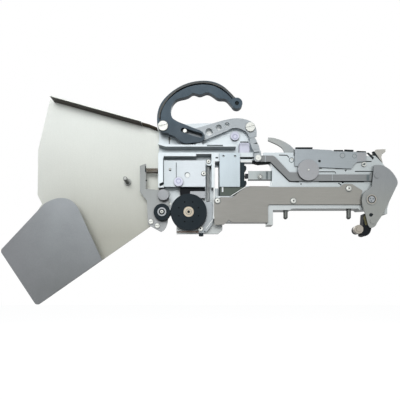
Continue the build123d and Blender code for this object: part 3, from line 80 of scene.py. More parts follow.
WHITE = (1.0, 1.0, 1.0, 1.0)
Colour = tuple[float, float, float]
Outline = Sequence[tuple[float, float]]
Mesh = bmesh.types.BMesh
Socket = bpy.types.NodeSocket
Tree = bpy.types.NodeTree


class Along(Enum):
    """Direction that brush marks run in, with how much they are squeezed along X, Y and Z."""

    X = (1.0, 24.0, 24.0)
    Z = (24.0, 24.0, 1.0)
    NONE = (1.0, 1.0, 1.0)


@dataclass(frozen=True)
class Fade:
    """Slow change to another colour along a direction, between two places on it."""

    colour: Colour
    direction: tuple[float, float, float]
    low: float
    high: float


@dataclass(frozen=True)
class Finish:
    """One surface finish, with the values its material is built from.

    Colours are display values from 0 to 255, and tones are shares of the colour that a pattern takes away.
    """

    name: str
    colour: Colour
    metallic: float = 0.0
    roughness: float = 0.5
    roughness_spread: float = 0.08
    fades: tuple[Fade, ...] = ()
    brush: Along = Along.NONE
    brush_scale: float = 60.0
    brush_depth: float = 0.0
    brush_tone: float = 0.0
    grain_scale: float = 900.0
    grain_depth: float = 0.0
    grain_tone: float = 0.04
    mottle_scale: float = 18.0
    mottle_tone: float = 0.05
    specks: float = 0.0
    specular: float = 0.5
    # Share of the colour taken away as painted shade in deep corners and under overhanging edges.
    crevice_shade: float = 0.6
    # Painted shade on faces that look down: the share of the colour taken away there, or a dark colour put there in
    # its place.
    underside_shade: float = 0.76
    underside_shade_colour: Optional[Colour] = None
    # Share by which edges are brightened, partly as wear and partly as painted highlight.
    edge: float = 0.12


def linear(colour: Colour) -> tuple[float, float, float, float]:
    """Scene-linear colour of display values from 0 to 255.

    Args:
        colour: Red, green and blue display values.

    Returns:
        Red, green, blue and an alpha of one.
    """
    shares = [value / 255 for value in colour]
    return (*(share / 12.92 if share <= 0.04045 else ((share + 0.055) / 1.055) ** 2.4 for share in shares), 1.0)


class Wiring:
    """Short ways to add linked nodes to one tree."""

    def __init__(self, tree: Tree) -> None:
        """Keeps the tree."""
        self.tree = tree

    @classmethod
    def cleared(cls, owner: bpy.types.ID) -> "Wiring":
        """Empties the tree of a material or a world.

        Args:
            owner: The material or the world.

        Returns:
            Wiring of its tree.
        """
        owner.use_nodes = True
        owner.node_tree.nodes.clear()
        return cls(owner.node_tree)

    def add(self, kind: str, inputs: Optional[Mapping[str | int, object]] = None,
            **settings: object) -> bpy.types.Node:
        """Adds a node.

        Args:
            kind: Type of the node.
            inputs: What each of its inputs gets, another node's output or a plain value.
            settings: The node's own properties.

        Returns:
            The node.
        """
        node = self.tree.nodes.new(kind)
        for key, value in settings.items():
            setattr(node, key, value)
        for key, value in (inputs or {}).items():
            if isinstance(value, Socket):
                self.tree.links.new(value, node.inputs[key])
            else:
                node.inputs[key].default_value = value
        return node

    def effect(self, group: Tree, inputs: Mapping[str, object]) -> Socket:
        """Mask of a shared effect, placed in this tree with its own values."""
        return self.add("ShaderNodeGroup", inputs, node_tree=group).outputs["Mask"]

    def tint(self, colour: object, mask: Socket, other: Colour) -> Socket:
        """Turns a colour into another one where a mask is high."""
        return self.add("ShaderNodeMix", {0: mask, 6: colour, 7: linear(other)}, data_type="RGBA").outputs[2]

    def shade(self, colour: object, mask: Socket, tone: float) -> Socket:
        """Darkens a colour where a mask is high.

        Args:
            colour: Plain colour, or the output that gives it.
            mask: Where the colour changes.
            tone: Share of its value that it loses; a negative share brightens it.

        Returns:
            The changed colour.
        """
        kept = self.add("ShaderNodeMapRange", {"Value": mask, "To Min": 1.0, "To Max": 1.0 - tone}).outputs["Result"]
        grey = self.add("ShaderNodeCombineColor", {"Red": kept, "Green": kept, "Blue": kept}).outputs["Color"]
        return self.add("ShaderNodeMix", {0: 1.0, 6: colour, 7: grey}, data_type="RGBA",
                        blend_type="MULTIPLY").outputs[2]


class Group(Wiring):
    """Shader node group that several finishes share, with a mask as its output."""

    def __init__(self, name: str, inputs: Mapping[str, Optional[float]]) -> None:
        """Makes the group and its sockets.

        Args:
            name: Name of the group.
            inputs: Default of each number that goes in, or none where a vector goes in.
        """
        super().__init__(bpy.data.node_groups.new(name, "ShaderNodeTree"))
        for label, default in inputs.items():
            kind = "NodeSocketVector" if default is None else "NodeSocketFloat"
            socket = self.tree.interface.new_socket(name=label, in_out="INPUT", socket_type=kind)
            if default is not None:
                socket.default_value = default
        self.tree.interface.new_socket(name="Mask", in_out="OUTPUT", socket_type="NodeSocketFloat")
        outputs = self.add("NodeGroupInput").outputs
        self.given = {label: outputs[label] for label in inputs}

    def spread(self, value: Socket, low: object, high: object) -> Tree:
        """Puts out a value, spread over zero to one.

        Args:
            value: Output that the mask is made from.
            low: Where the mask is zero, a number or an output.
            high: Where the mask is one.

        Returns:
            The group's tree.
        """
        mask = self.add("ShaderNodeMapRange", {"Value": value, "From Min": low, "From Max": high})
        self.add("NodeGroupOutput", {"Mask": mask.outputs["Result"]})
        return self.tree


class Effects:
    """The effects that the finishes share, each built once."""

    def __init__(self) -> None:
        """Builds the groups."""
        self.brush = self.noise("brush_marks", detail=6.0, rough=0.65, low=0.3, high=0.7)
        self.grain = self.noise("fine_grain", detail=2.0, rough=0.5, low=0.35, high=0.65)
        self.mottle = self.noise("slow_mottle", detail=3.0, rough=0.55, low=0.3, high=0.7)
        self.fade = self.slow_fade()
        self.specks = self.small_specks()
        self.crevice_shade = self.painted_crevice_shade()
        self.underside_shade = self.painted_underside_shade()
        self.edge = self.edge_wear_and_highlight()

    @staticmethod
    def noise(name: str, detail: float, rough: float, low: float, high: float) -> Tree:
        """Noise stretched by a vector.

        Args:
            name: Name of the group.
            detail: Octaves of the noise.
            rough: Share that each octave keeps.
            low: Noise value that becomes zero.
            high: Noise value that becomes one.

        Returns:
            The group's tree.
        """
        group = Group(name, {"Vector": None, "Scale": 50.0})
        noise = group.add("ShaderNodeTexNoise", {**group.given, "Detail": detail, "Roughness": rough})
        return group.spread(noise.outputs["Fac"], low, high)

    @staticmethod
    def slow_fade() -> Tree:
        """Mask that rises between two places along a direction.

        Returns:
            The group's tree.
        """
        group = Group("slow_fade", {"Vector": None, "Direction": None, "Low": 0.0, "High": 1.0})
        place = group.add("ShaderNodeVectorMath", {0: group.given["Vector"], 1: group.given["Direction"]},
                          operation="DOT_PRODUCT")
        return group.spread(place.outputs["Value"], group.given["Low"], group.given["High"])

    @staticmethod
    def small_specks() -> Tree:
        """Sparse small dots, as of dust and nicks.

        Returns:
            The group's tree.
        """
        group = Group("small_specks", {"Vector": None, "Scale": 300.0})
        cells = group.add("ShaderNodeTexVoronoi", group.given)
        return group.spread(cells.outputs["Distance"], low=0.16, high=0.04)

    @staticmethod
    def painted_underside_shade() -> Tree:
        """Mask of the faces that look down, where shade is painted into the colour.

        Returns:
            The group's tree.
        """
        group = Group("painted_underside_shade", {"Normal": None})
        parts = group.add("ShaderNodeSeparateXYZ", {"Vector": group.given["Normal"]})
        return group.spread(parts.outputs["Z"], low=-0.35, high=-0.85)

    @staticmethod
    def edge_wear_and_highlight() -> Tree:
        """Mask of edges, found from how far a bevelled normal turns; brightening there is partly wear and partly
        painted highlight.

        Returns:
            The group's tree.
        """
        group = Group("edge_wear_and_highlight", {"Reach": EDGE_REACH})
        rounded = group.add("ShaderNodeBevel", {"Radius": group.given["Reach"]}, samples=6)
        plain = group.add("ShaderNodeNewGeometry")
        same = group.add("ShaderNodeVectorMath", {0: rounded.outputs["Normal"], 1: plain.outputs["Normal"]},
                         operation="DOT_PRODUCT")
        return group.spread(same.outputs["Value"], low=0.985, high=0.80)

    @staticmethod
    def painted_crevice_shade() -> Tree:
        """Mask of deep corners and of what lies under overhanging edges, where shade is painted into the colour.

        Returns:
            The group's tree.
        """
        group = Group("painted_crevice_shade", {"Reach": CREVICE_REACH})
        near = group.add("ShaderNodeAmbientOcclusion", {"Distance": group.given["Reach"]}, samples=8)
        return group.spread(near.outputs["AO"], low=0.95, high=0.35)


class Dresser:
    """Builds a material for each finish, once."""

    def __init__(self) -> None:
        """Builds the shared effects."""
        self.effects = Effects()
        self.made: dict[str, bpy.types.Material] = {}

    def material(self, finish: Finish) -> bpy.types.Material:
        """Material of a finish.

        Args:
            finish: Values to build from.

        Returns:
            The material, the same one each time.
        """
        if finish.name not in self.made:
            self.made[finish.name] = self.build(finish)
        return self.made[finish.name]

    def build(self, finish: Finish) -> bpy.types.Material:
        """Builds the node tree of one finish.

        Args:
            finish: Values to build from.

        Returns:
            The new material.
        """
        material = bpy.data.materials.new(finish.name)
        nodes = Wiring.cleared(material)
        known = nodes.add("ShaderNodeTexCoord").outputs
        place = known["Object"]
        along = nodes.add("ShaderNodeMapping", {"Vector": place, "Scale": finish.brush.value}).outputs["Vector"]
        brush = nodes.effect(self.effects.brush, {"Vector": along, "Scale": finish.brush_scale})
        grain = nodes.effect(self.effects.grain, {"Vector": place, "Scale": finish.grain_scale})
        mottle = nodes.effect(self.effects.mottle, {"Vector": place, "Scale": finish.mottle_scale})
        colour = self.faded(nodes, finish, place)
        for mask, tone in ((mottle, finish.mottle_tone), (grain, finish.grain_tone), (brush, finish.brush_tone)):
            if tone:
                colour = nodes.shade(colour, mask, tone)
        colour = self.wear_and_painted_light(nodes, finish, colour, known)
        rough = nodes.add("ShaderNodeMapRange", {
            "Value": mottle if finish.brush is Along.NONE else brush,
            "To Min": finish.roughness - finish.roughness_spread,
            "To Max": finish.roughness + finish.roughness_spread})
        bumps: dict[str, Socket] = {}
        for mask, depth in ((brush, finish.brush_depth), (grain, finish.grain_depth)):
            if depth:
                bump = nodes.add("ShaderNodeBump", {"Strength": 1.0, "Distance": depth, "Height": mask, **bumps})
                bumps = {"Normal": bump.outputs["Normal"]}
        shader = nodes.add("ShaderNodeBsdfPrincipled", {
            "Base Color": colour, "Metallic": finish.metallic, "Roughness": rough.outputs["Result"],
            "Specular IOR Level": finish.specular, **bumps})
        nodes.add("ShaderNodeOutputMaterial", {"Surface": shader.outputs["BSDF"]})
        return material

    def faded(self, nodes: Wiring, finish: Finish, place: Socket) -> object:
        """The finish's colour with its fades laid over it, one after the other.

        Args:
            nodes: Wiring of the material.
            finish: Values to build from.
            place: Object coordinates.

        Returns:
            The colour, a plain one where nothing fades.
        """
        colour: object = linear(finish.colour)
        for fade in finish.fades:
            mask = nodes.effect(self.effects.fade, {"Vector": place, "Direction": fade.direction, "Low": fade.low,
                                                    "High": fade.high})
            colour = nodes.tint(colour, mask, fade.colour)
        return colour

    def wear_and_painted_light(self, nodes: Wiring, finish: Finish, colour: Socket,
             known: bpy.types.bpy_prop_collection) -> Socket:
        """Lays specks, brightened edges of wear and painted highlight, and painted shade on faces that look down and
        in corners over a colour.

        Args:
            nodes: Wiring of the material.
            finish: Values to build from.
            colour: Colour of the clean surface.
            known: Outputs of the material's coordinates.

        Returns:
            The changed colour.
        """
        if finish.specks:
            specks = nodes.effect(self.effects.specks, {"Vector": known["Object"], "Scale": SPECK_SCALE})
            colour = nodes.shade(colour, specks, finish.specks)
        # Brighter edges, partly wear and partly painted highlight.
        if finish.edge:
            colour = nodes.shade(colour, nodes.effect(self.effects.edge, {"Reach": EDGE_REACH}), -finish.edge)
        # Faces that look down get painted shade.
        below = nodes.effect(self.effects.underside_shade, {"Normal": known["Normal"]})
        if finish.underside_shade_colour is None:
            colour = nodes.shade(colour, below, finish.underside_shade)
        else:
            colour = nodes.tint(colour, below, finish.underside_shade_colour)
        # Painted shade in deep corners and under overhanging edges.
        if finish.crevice_shade:
            corner_shade = nodes.effect(self.effects.crevice_shade, {"Reach": CREVICE_REACH})
            colour = nodes.shade(colour, corner_shade, finish.crevice_shade)
        return colour


RIGHT = (1.0, 0.0, 0.0)
UP = (0.0, 0.0, 1.0)
DOWN = (0.0, 0.0, -1.0)
LEFT = (-1.0, 0.0, 0.0)

FRAME_METAL = Finish(
    "blasted_frame_metal", (220, 229, 233), metallic=0.2, roughness=0.42, grain_depth=2e-6, grain_tone=0.03,
    mottle_tone=0.05, underside_shade=0.66, fades=(Fade((196, 204, 205), RIGHT, -0.12, 0.02),
    Fade((200, 205, 204), DOWN, -0.04, 0.02)))
PANEL_METAL = Finish(
    "panel_metal", (209, 217, 222), metallic=0.2, roughness=0.36, brush=Along.X, brush_tone=0.03, brush_depth=1e-6,
    fades=(Fade((198, 208, 212), LEFT, 0.225, 0.25),))
PLATE_METAL = Finish(
    "cylinder_plate_metal", (199, 212, 219), metallic=0.2, roughness=0.38, brush=Along.Z, brush_tone=0.03,
    fades=(Fade((192, 205, 211), DOWN, -0.06, -0.03),))
# Its dark brown on faces that look down is painted shade on the lower face of the flange.
REEL_STEEL = Finish(
    "reel_plate_steel", (250, 254, 248), metallic=0.1, roughness=0.42, specular=0.3,
    fades=(Fade((190, 190, 179), DOWN, -0.125, 0.035), Fade((240, 243, 237), LEFT, 0.38, 0.52)), brush=Along.Z,
    brush_tone=0.03, brush_depth=1e-6, mottle_tone=0.03, crevice_shade=0.3, underside_shade_colour=(46, 38, 30))
POCKET_PAINT = Finish(
    "pocket_cover_paint", (168, 173, 177), metallic=0.1, roughness=0.5,
    fades=(Fade((128, 131, 132), DOWN, -0.015, 0.11), Fade((140, 142, 145), LEFT, 0.4, 0.47)), grain_depth=4e-6,
    grain_tone=0.06, mottle_tone=0.06, mottle_scale=40.0)
COVER_STEEL = Finish(
    "side_cover_steel", (134, 133, 128), metallic=0.35, roughness=0.38, brush=Along.X,
    fades=(Fade((148, 147, 141), RIGHT, -0.16, -0.05),), brush_tone=0.07, brush_depth=1.5e-6, mottle_tone=0.05,
    edge=0.3)
TOP_COVER_STEEL = Finish(
    "tape_cover_steel", (162, 170, 175), metallic=0.35, roughness=0.36, brush=Along.X, brush_tone=0.05,
    brush_depth=1.5e-6, fades=(Fade((155, 163, 166), RIGHT, -0.05, 0.02),))
LEVER_STEEL = Finish(
    "lever_steel", (162, 169, 173), metallic=0.3, roughness=0.4, brush=Along.X, brush_tone=0.03, brush_depth=1e-6)
LATCH_STEEL = Finish(
    "latch_lever_steel", (168, 172, 170), metallic=0.3, roughness=0.4, brush=Along.X, brush_tone=0.04,
    fades=(Fade((160, 166, 168), RIGHT, -0.1, -0.078),))
BRACKET_STEEL = Finish(
    "bracket_steel", (140, 144, 143), metallic=0.3, roughness=0.4, brush=Along.Z, brush_tone=0.03,
    fades=(Fade((160, 163, 164), DOWN, -0.03, 0.02),))
BAR_STEEL = Finish(
    "link_bar_steel", (119, 122, 123), metallic=0.4, roughness=0.36,
    fades=(Fade((131, 134, 135), RIGHT, -0.12, -0.05), Fade((120, 125, 125), RIGHT, 0.0, 0.04)), brush=Along.X,
    brush_tone=0.07, brush_depth=2e-6)
DISC_STEEL = Finish(
    "disc_steel", (158, 160, 163), metallic=0.35, roughness=0.34, brush=Along.X, brush_tone=0.04, edge=0.35)
NOSE_STEEL = Finish(
    "nose_plate_steel", (148, 151, 147), metallic=0.35, roughness=0.38, fades=(Fade((141, 145, 147), UP, 0.0, 0.04),),
    brush=Along.Z, brush_tone=0.04, brush_depth=1.5e-6)
KNOB_STEEL = Finish("knob_steel", (137, 140, 143), metallic=0.35, roughness=0.36, edge=0.25)
BRIGHT_STEEL = Finish(
    "bright_screw_steel", (202, 204, 199), metallic=0.45, roughness=0.3, mottle_scale=200.0, crevice_shade=0.6)
PIN_STEEL = Finish(
    "ground_pin_steel", (92, 95, 93), metallic=0.5, roughness=0.3, brush=Along.Z, brush_tone=0.1, edge=0.5)
REEL_PIN_STEEL = Finish("reel_pin_steel", (158, 161, 158), metallic=0.4, roughness=0.34, brush=Along.X, brush_tone=0.1)
DARK_STEEL = Finish("blackened_steel", (40, 44, 48), metallic=0.1, roughness=0.4, specular=0.2)
HANDLE_PLASTIC = Finish(
    "handle_plastic", (66, 87, 101), roughness=0.38, specular=0.3, mottle_tone=0.18, mottle_scale=70.0,
    grain_depth=6e-6, grain_tone=0.1, grain_scale=1400.0, specks=0.08, edge=0.3, underside_shade=0.5, crevice_shade=0.9,
    fades=(Fade((62, 80, 92), DOWN, -0.12, -0.1),))
BLACK_PLASTIC = Finish("black_plastic", (24, 28, 32), roughness=0.5, specular=0.1, grain_depth=4e-6, grain_tone=0.1)
CYLINDER_PAINT = Finish("cylinder_paint", (38, 52, 58), roughness=0.45, specular=0.15, grain_tone=0.1)
RIM_PLASTIC = Finish(
    "worn_rim_plastic", (82, 84, 82), roughness=0.42, specular=0.3, grain_depth=6e-6, grain_tone=0.14,
    grain_scale=1400.0, edge=0.0)
ROLLER_RUBBER = Finish(
    "roller_rubber", (36, 46, 52), roughness=0.6, specular=0.15, grain_depth=6e-6, grain_tone=0.12, specks=0.12,
    underside_shade=0.4)
BEIGE_BRONZE = Finish(
    "sintered_bronze", (190, 179, 160), metallic=0.3, roughness=0.4, grain_tone=0.1, mottle_scale=120.0)
BROWN_BRONZE = Finish("aged_bronze", (118, 106, 92), metallic=0.4, roughness=0.4, grain_tone=0.1)
SPRING_STEEL = Finish("spring_steel", (205, 209, 209), metallic=0.4, roughness=0.3, crevice_shade=0.7)
WARM_STEEL = Finish("warm_roller_steel", (166, 160, 149), metallic=0.35, roughness=0.36, edge=0.3)
GUIDE_METAL = Finish("guide_block_metal", (206, 208, 224), metallic=0.15, roughness=0.38)
EXIT_PLASTIC = Finish("exit_guide_plastic", (206, 204, 196), roughness=0.45, specular=0.3)
GREY_BLOCK = Finish("grey_block", (170, 174, 178), metallic=0.25, roughness=0.4)
ROD_BLOCK_METAL = Finish(
    "rod_block_metal", (172, 180, 180), metallic=0.3, roughness=0.36, brush=Along.X, brush_tone=0.05,
    fades=(Fade((140, 148, 149), RIGHT, -0.13, -0.11),))
# The dark and grey marks stand for real gaps, joints and holes, and also for painted shade and painted shadow where
# parts overhang.
GAP_SHADE = Finish("dark_gap_and_shade", (42, 48, 50), roughness=0.7, specular=0.1, edge=0.0, crevice_shade=0.0)
SOFT_GAP_SHADE = Finish("grey_gap_and_shade", (116, 126, 128), roughness=0.6, specular=0.1, edge=0.0, crevice_shade=0.0)
# Pale finish for real lips and fittings, and also for painted highlights: the shine spots on the web and the bright
# line on the side cover's edge.
PALE_LIP_AND_HIGHLIGHT = Finish("pale_lip_and_highlight_metal", (240, 244, 243), metallic=0.1, roughness=0.4, edge=0.0, crevice_shade=0.2)
OLIVE_STRIP = Finish("olive_strip", (104, 100, 66), roughness=0.5, specular=0.2)
GREEN_BLOCK = Finish("cylinder_foot_plastic", (98, 108, 100), roughness=0.5, specular=0.2)
RING_METAL = Finish("boss_ring_metal", (172, 174, 198), metallic=0.2, roughness=0.4)
BLACK_GAP = Finish("black_hole", (18, 22, 24), roughness=0.7, specular=0.05, edge=0.0, crevice_shade=0.0)
# Dark colour painted on the reel plate's hem, as its shade under the flange.
HEM_SHADE = Finish("hem_painted_shade", (78, 70, 58), roughness=0.6, specular=0.1, edge=0.0, underside_shade=0.3)
BROWN_BAND = Finish("brown_base_band", (104, 82, 68), roughness=0.5, specular=0.2)

FINISHES: dict[str, Finish] = {name: finish for finish, names in (
    (FRAME_METAL, "main_frame"), (PANEL_METAL, "inner_panel"), (PLATE_METAL, "cylinder_plate"),
    (GUIDE_METAL, "round_bosses guide_block"), (REEL_STEEL, "reel_plate"), (REEL_PIN_STEEL, "reel_pin"),
    (POCKET_PAINT, "reel_pocket_cover"), (COVER_STEEL, "side_cover rear_cover"), (TOP_COVER_STEEL, "tape_cover"),
    (LEVER_STEEL, "crank_lever take_up_lever"), (LATCH_STEEL, "cover_latch_lever"),
    (BRACKET_STEEL, "release_bracket"), (BAR_STEEL, "link_bar"), (DISC_STEEL, "guide_disc disc_stud"),
    (NOSE_STEEL, "nose_plate nose_shaft nose_rivets"), (KNOB_STEEL, "bracket_shaft"),
    (PIN_STEEL, "front_locating_pin rear_locating_pin cover_hinge_pin"), (SPRING_STEEL, "tension_spring"),
    (BRIGHT_STEEL, "side_cover_screws reel_plate_rivets handle_shaft crank_shaft handle_slot_pin link_pin latch_pin "
                   "sprocket ratchet_wheel sprocket_shaft rear_cover_screws piston_rod rod_screw bracket_screws "
                   "lever_screw panel_screws"),
    (WARM_STEEL, "clamp_roller clamp_roller_pin"), (HANDLE_PLASTIC, "handle"),
    (BLACK_PLASTIC, "hook_arm peel_guide"), (EXIT_PLASTIC, "tape_exit_guide"), (CYLINDER_PAINT, "cylinder_body"),
    (BROWN_BRONZE, "piston bracket_spring"), (BEIGE_BRONZE, "take_up_hub take_up_shaft"),
    (ROLLER_RUBBER, "take_up_roller pinch_roller lever_bumper"), (ROD_BLOCK_METAL, "rod_block"),
    (GREY_BLOCK, "pinch_roller_screw peel_block"),
) for name in names.split()}

# Turned and thin solids with very short edges, where a full bevel would throw up spikes.
CLAMPED = frozenset({
    "guide_disc", "lever_screw", "link_bar", "nose_shaft", "panel_screws", "pinch_roller", "pinch_roller_screw",
    "reel_plate", "rod_screw", "side_cover_screws", "take_up_roller",
})


@dataclass
class Workshop:
    """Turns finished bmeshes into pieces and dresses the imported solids."""

    dresser: Dresser
    weld_reach: float = 1e-6
    merge_reach: float = 1e-7
    edge_width: float = 0.18 * MM
    edge_steps: int = 2
    smooth_angle: float = math.radians(32)
    flat_angle: float = math.radians(0.5)

    def dress_nodes(self) -> None:
        """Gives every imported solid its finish, welded faces and softly broken edges."""
        for name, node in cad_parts.items():
            finish = FINISHES[name]
            node.data.materials.clear()
            node.data.materials.append(self.dresser.material(finish))
            for face in node.data.polygons:
                face.use_smooth = True
            self.break_edges(node, clamp=name in CLAMPED)
            log.info("dressed %s with %s", name, finish.name)

    def break_edges(self, node: bpy.types.Object, clamp: bool) -> None:
        """Joins a solid's loose triangles into whole faces, then rounds its sharp edges a little.

        Args:
            node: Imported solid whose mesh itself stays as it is.
            clamp: Whether the rounding stops short of its neighbours, for solids with very short edges.
        """
        weld = node.modifiers.new("weld", "WELD")
        weld.merge_threshold = self.weld_reach
        whole = node.modifiers.new("whole_faces", "DECIMATE")
        whole.decimate_type = "DISSOLVE"
        whole.angle_limit = self.flat_angle
        bevel = node.modifiers.new("edge", "BEVEL")
        bevel.width = self.edge_width
        bevel.segments = self.edge_steps
        bevel.limit_method = "ANGLE"
        bevel.angle_limit = self.smooth_angle
        bevel.use_clamp_overlap = clamp
        shading = node.modifiers.new("shading", "WEIGHTED_NORMAL")
        shading.mode = "FACE_AREA"
        shading.weight = 100

    def finish_piece(self, mesh: Mesh, name: str, body: Optional[str], finish: Finish, slot: str,
                     smooth: bool = True) -> bpy.types.Object:
        """Makes an object of a bmesh, dresses it and sets it on its body.

        Args:
            mesh: Shape, in place in the frame.
            name: Name of the piece.
            body: Body that it rides on, or none for a piece that rides on no body.
            finish: Its finish.
            slot: Not used.
            smooth: Whether its faces are shaded smooth.

        Returns:
            The new object.
        """
        bmesh.ops.remove_doubles(mesh, verts=mesh.verts, dist=self.merge_reach)
        bmesh.ops.recalc_face_normals(mesh, faces=mesh.faces)
        for face in mesh.faces:
            face.smooth = smooth
        data = bpy.data.meshes.new(name)
        mesh.to_mesh(data)
        mesh.free()
        if smooth:
            data.set_sharp_from_angle(angle=self.smooth_angle)
        piece = bpy.data.objects.new(name, data)
        bpy.context.scene.collection.objects.link(piece)
        data.materials.append(self.dresser.material(finish))
        if body is not None:
            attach(piece, body)
        log.info("made %s on %s", name, body)
        return piece

    def mark(self, parts: Iterable[Mesh], name: str, body: str, finish: Finish, slot: str = "dark_steel") -> None:
        """Makes one flat-shaded piece of several shapes."""
        self.finish_piece(joined(parts), name, body, finish, slot, smooth=False)


def coil(start: Vector, end: Vector, radius: float, wire: float, turns: int, sides: int, steps: int) -> Mesh:
    """Coil spring between two places.

    Args:
        start: Place on the axis where the coil starts.
        end: Place on the axis where it ends.
        radius: Radius of the wire's middle.
        wire: Radius of the wire.
        turns: Number of turns.
        sides: Sides of the wire.
        steps: Steps in one turn.

    Returns:
        The coil as a bmesh.
    """
    mesh = bmesh.new()
    axis = (end - start).normalized()
    side = axis.orthogonal().normalized()
    turn = Matrix((side, axis, side.cross(axis))).transposed().to_4x4()
    turn.translation = start + side * radius
    bmesh.ops.create_circle(mesh, cap_ends=True, segments=sides, radius=wire, matrix=turn)
    steps_all = turns * steps
    bmesh.ops.spin(mesh, geom=mesh.verts[:] + mesh.edges[:] + mesh.faces[:], cent=start, axis=axis,
                   dvec=(end - start) / steps_all, angle=2 * math.pi * turns, steps=steps_all,
                   use_merge=False, use_normal_flip=False, use_duplicate=False)
    return mesh


def seen(column: float, row: float, depth: float) -> Vector:
    """Place in the frame that the photograph shows at a pixel, at a depth.

    Args:
        column: Pixel counted from the left.
        row: Pixel counted from the top.
        depth: Y of the place.

    Returns:
        The place.
    """
    reach = (depth - EYE.y) / FOCAL_PIXELS
    return Vector((EYE.x + (column - PHOTO_SIDE / 2) * reach, depth, EYE.z + (EYE_ROW - row) * reach))


def ribbon(path: Outline, width: float) -> list[tuple[float, float]]:
    """Outline of a band that follows a path.

    Args:
        path: Pixels along the band's middle.
        width: Width of the band in pixels.

    Returns:
        Pixels round the band.
    """
    left, right = [], []
    for index, (column, row) in enumerate(path):
        before = path[max(0, index - 1)]
        after = path[min(len(path) - 1, index + 1)]
        run = Vector((after[0] - before[0], after[1] - before[1])).normalized() * width / 2
        left.append((column - run.y, row + run.x))
        right.append((column + run.y, row - run.x))
    return left + right[::-1]


def plate(outline: Outline, front: float, back: float, edge: float) -> Mesh:
    """Plate with an outline from the photograph, between two depths.

    Args:
        outline: Pixels round the plate, read at its front depth.
        front: Depth of its front face.
        back: Depth of its back face.
        edge: Width of its broken edges, or zero.

    Returns:
        The plate as a bmesh.
    """
    mesh = bmesh.new()
    face = mesh.faces.new([mesh.verts.new(seen(column, row, front)) for column, row in outline])
    grown = bmesh.ops.extrude_face_region(mesh, geom=[face])["geom"]
    moved = [part for part in grown if isinstance(part, bmesh.types.BMVert)]
    bmesh.ops.translate(mesh, verts=moved, vec=(0, back - front, 0))
    if edge:
        bmesh.ops.bevel(mesh, geom=mesh.edges[:], offset=edge, segments=1, profile=0.5, affect="EDGES", material=-1)
    return mesh


def lathe(centre: Vector, profile: Outline, steps: int = 36) -> Mesh:
    """Shape turned round an axis along Y.

    Args:
        centre: Place on the axis.
        profile: Radius and height in front of the centre of each corner; a profile that starts off the axis is
            closed into a ring.
        steps: Steps in the full turn.

    Returns:
        The shape as a bmesh.
    """
    mesh = bmesh.new()
    corners = [mesh.verts.new(centre + Vector((radius, -height, 0))) for radius, height in profile]
    edges = [mesh.edges.new(pair) for pair in zip(corners, corners[1:])]
    if profile[0][0] > 0:
        edges.append(mesh.edges.new((corners[-1], corners[0])))
    bmesh.ops.spin(mesh, geom=corners + edges, cent=centre, axis=(0, 1, 0), angle=2 * math.pi, steps=steps,
                   use_merge=True, use_duplicate=False)
    return mesh


def joined(parts: Iterable[Mesh]) -> Mesh:
    """One bmesh that holds several, which it frees.

    Args:
        parts: The bmeshes.

    Returns:
        The joined bmesh.
    """
    whole = bmesh.new()
    for part in parts:
        data = bpy.data.meshes.new("part")
        part.to_mesh(data)
        part.free()
        whole.from_mesh(data)
        bpy.data.meshes.remove(data)
    return whole


def disc(centre: Vector, radius: float, height: float, steps: int = 36, base: float = -MARK_SINK) -> Mesh:
    """Thin round plate that stands on a surface, from its base up to its height."""
    return lathe(centre, ((0, base), (radius, base), (radius, height), (0, height)), steps)


def ring(centre: Vector, inner: float, outer: float, height: float) -> Mesh:
    """Thin flat ring that stands on a surface."""
    return lathe(centre, ((inner, -MARK_SINK), (outer, -MARK_SINK), (outer, height), (inner, height)))


def rect(left: float, top: float, right: float, bottom: float) -> Outline:
    """Outline of an upright rectangle."""
    return (left, top), (right, top), (right, bottom), (left, bottom)


@dataclass(frozen=True)
class Mark:
    """Thin piece on a body, in one finish. Each kind of mark says which shapes it is made of."""

    name: str
    body: str
    finish: Finish
    slot: str

    def shapes(self) -> list[Mesh]:
        """Shapes that the piece is made of."""
        raise NotImplementedError

    def build(self, workshop: Workshop) -> None:
        """Makes the piece in a workshop."""
        workshop.mark(self.shapes(), self.name, self.body, self.finish, self.slot)


@dataclass(frozen=True)
class Trim(Mark):
    """Bands along paths, patches with outlines and round dots on one surface.

    Places and widths are in the photograph's pixels. The surface's depth, the height above it and the sink below
    it are in millimetres.
    """

    surface: float
    paths: tuple[Outline, ...] = ()
    width: float = 1.0
    patches: tuple[Outline, ...] = ()
    dots: tuple[tuple[float, float, float], ...] = ()
    height: float = 0.12
    sink: float = 0.3

    def shapes(self) -> list[Mesh]:
        """Bands and patches first, then the dots.

        Returns:
            One bmesh for each.
        """
        surface, height, sink = self.surface * MM, self.height * MM, self.sink * MM
        edge = min(MARK_EDGE, height / 3)
        outlines = [ribbon(path, self.width) for path in self.paths] + list(self.patches)
        parts = [plate(outline, surface - height, surface + sink, edge) for outline in outlines]
        for column, row, radius in self.dots:
            wide = radius * (surface - EYE.y) / FOCAL_PIXELS
            parts.append(lathe(seen(column, row, surface), (
                (0, -sink), (wide, -sink), (wide, 0.6 * height), (0.9 * wide, height), (0, height)), steps=24))
        return parts


@dataclass(frozen=True)
class Rings(Mark):
    """Thin rings round pins, bosses and bushings.

    Each has its column and row in pixels, and its depth, inner and outer radius in millimetres.
    """

    places: tuple[tuple[float, float, float, float, float], ...]
    height: float = 0.05

    def shapes(self) -> list[Mesh]:
        """One bmesh for each ring."""
        return [ring(seen(column, row, depth * MM), inner * MM, outer * MM, self.height * MM)
                for column, row, depth, inner, outer in self.places]


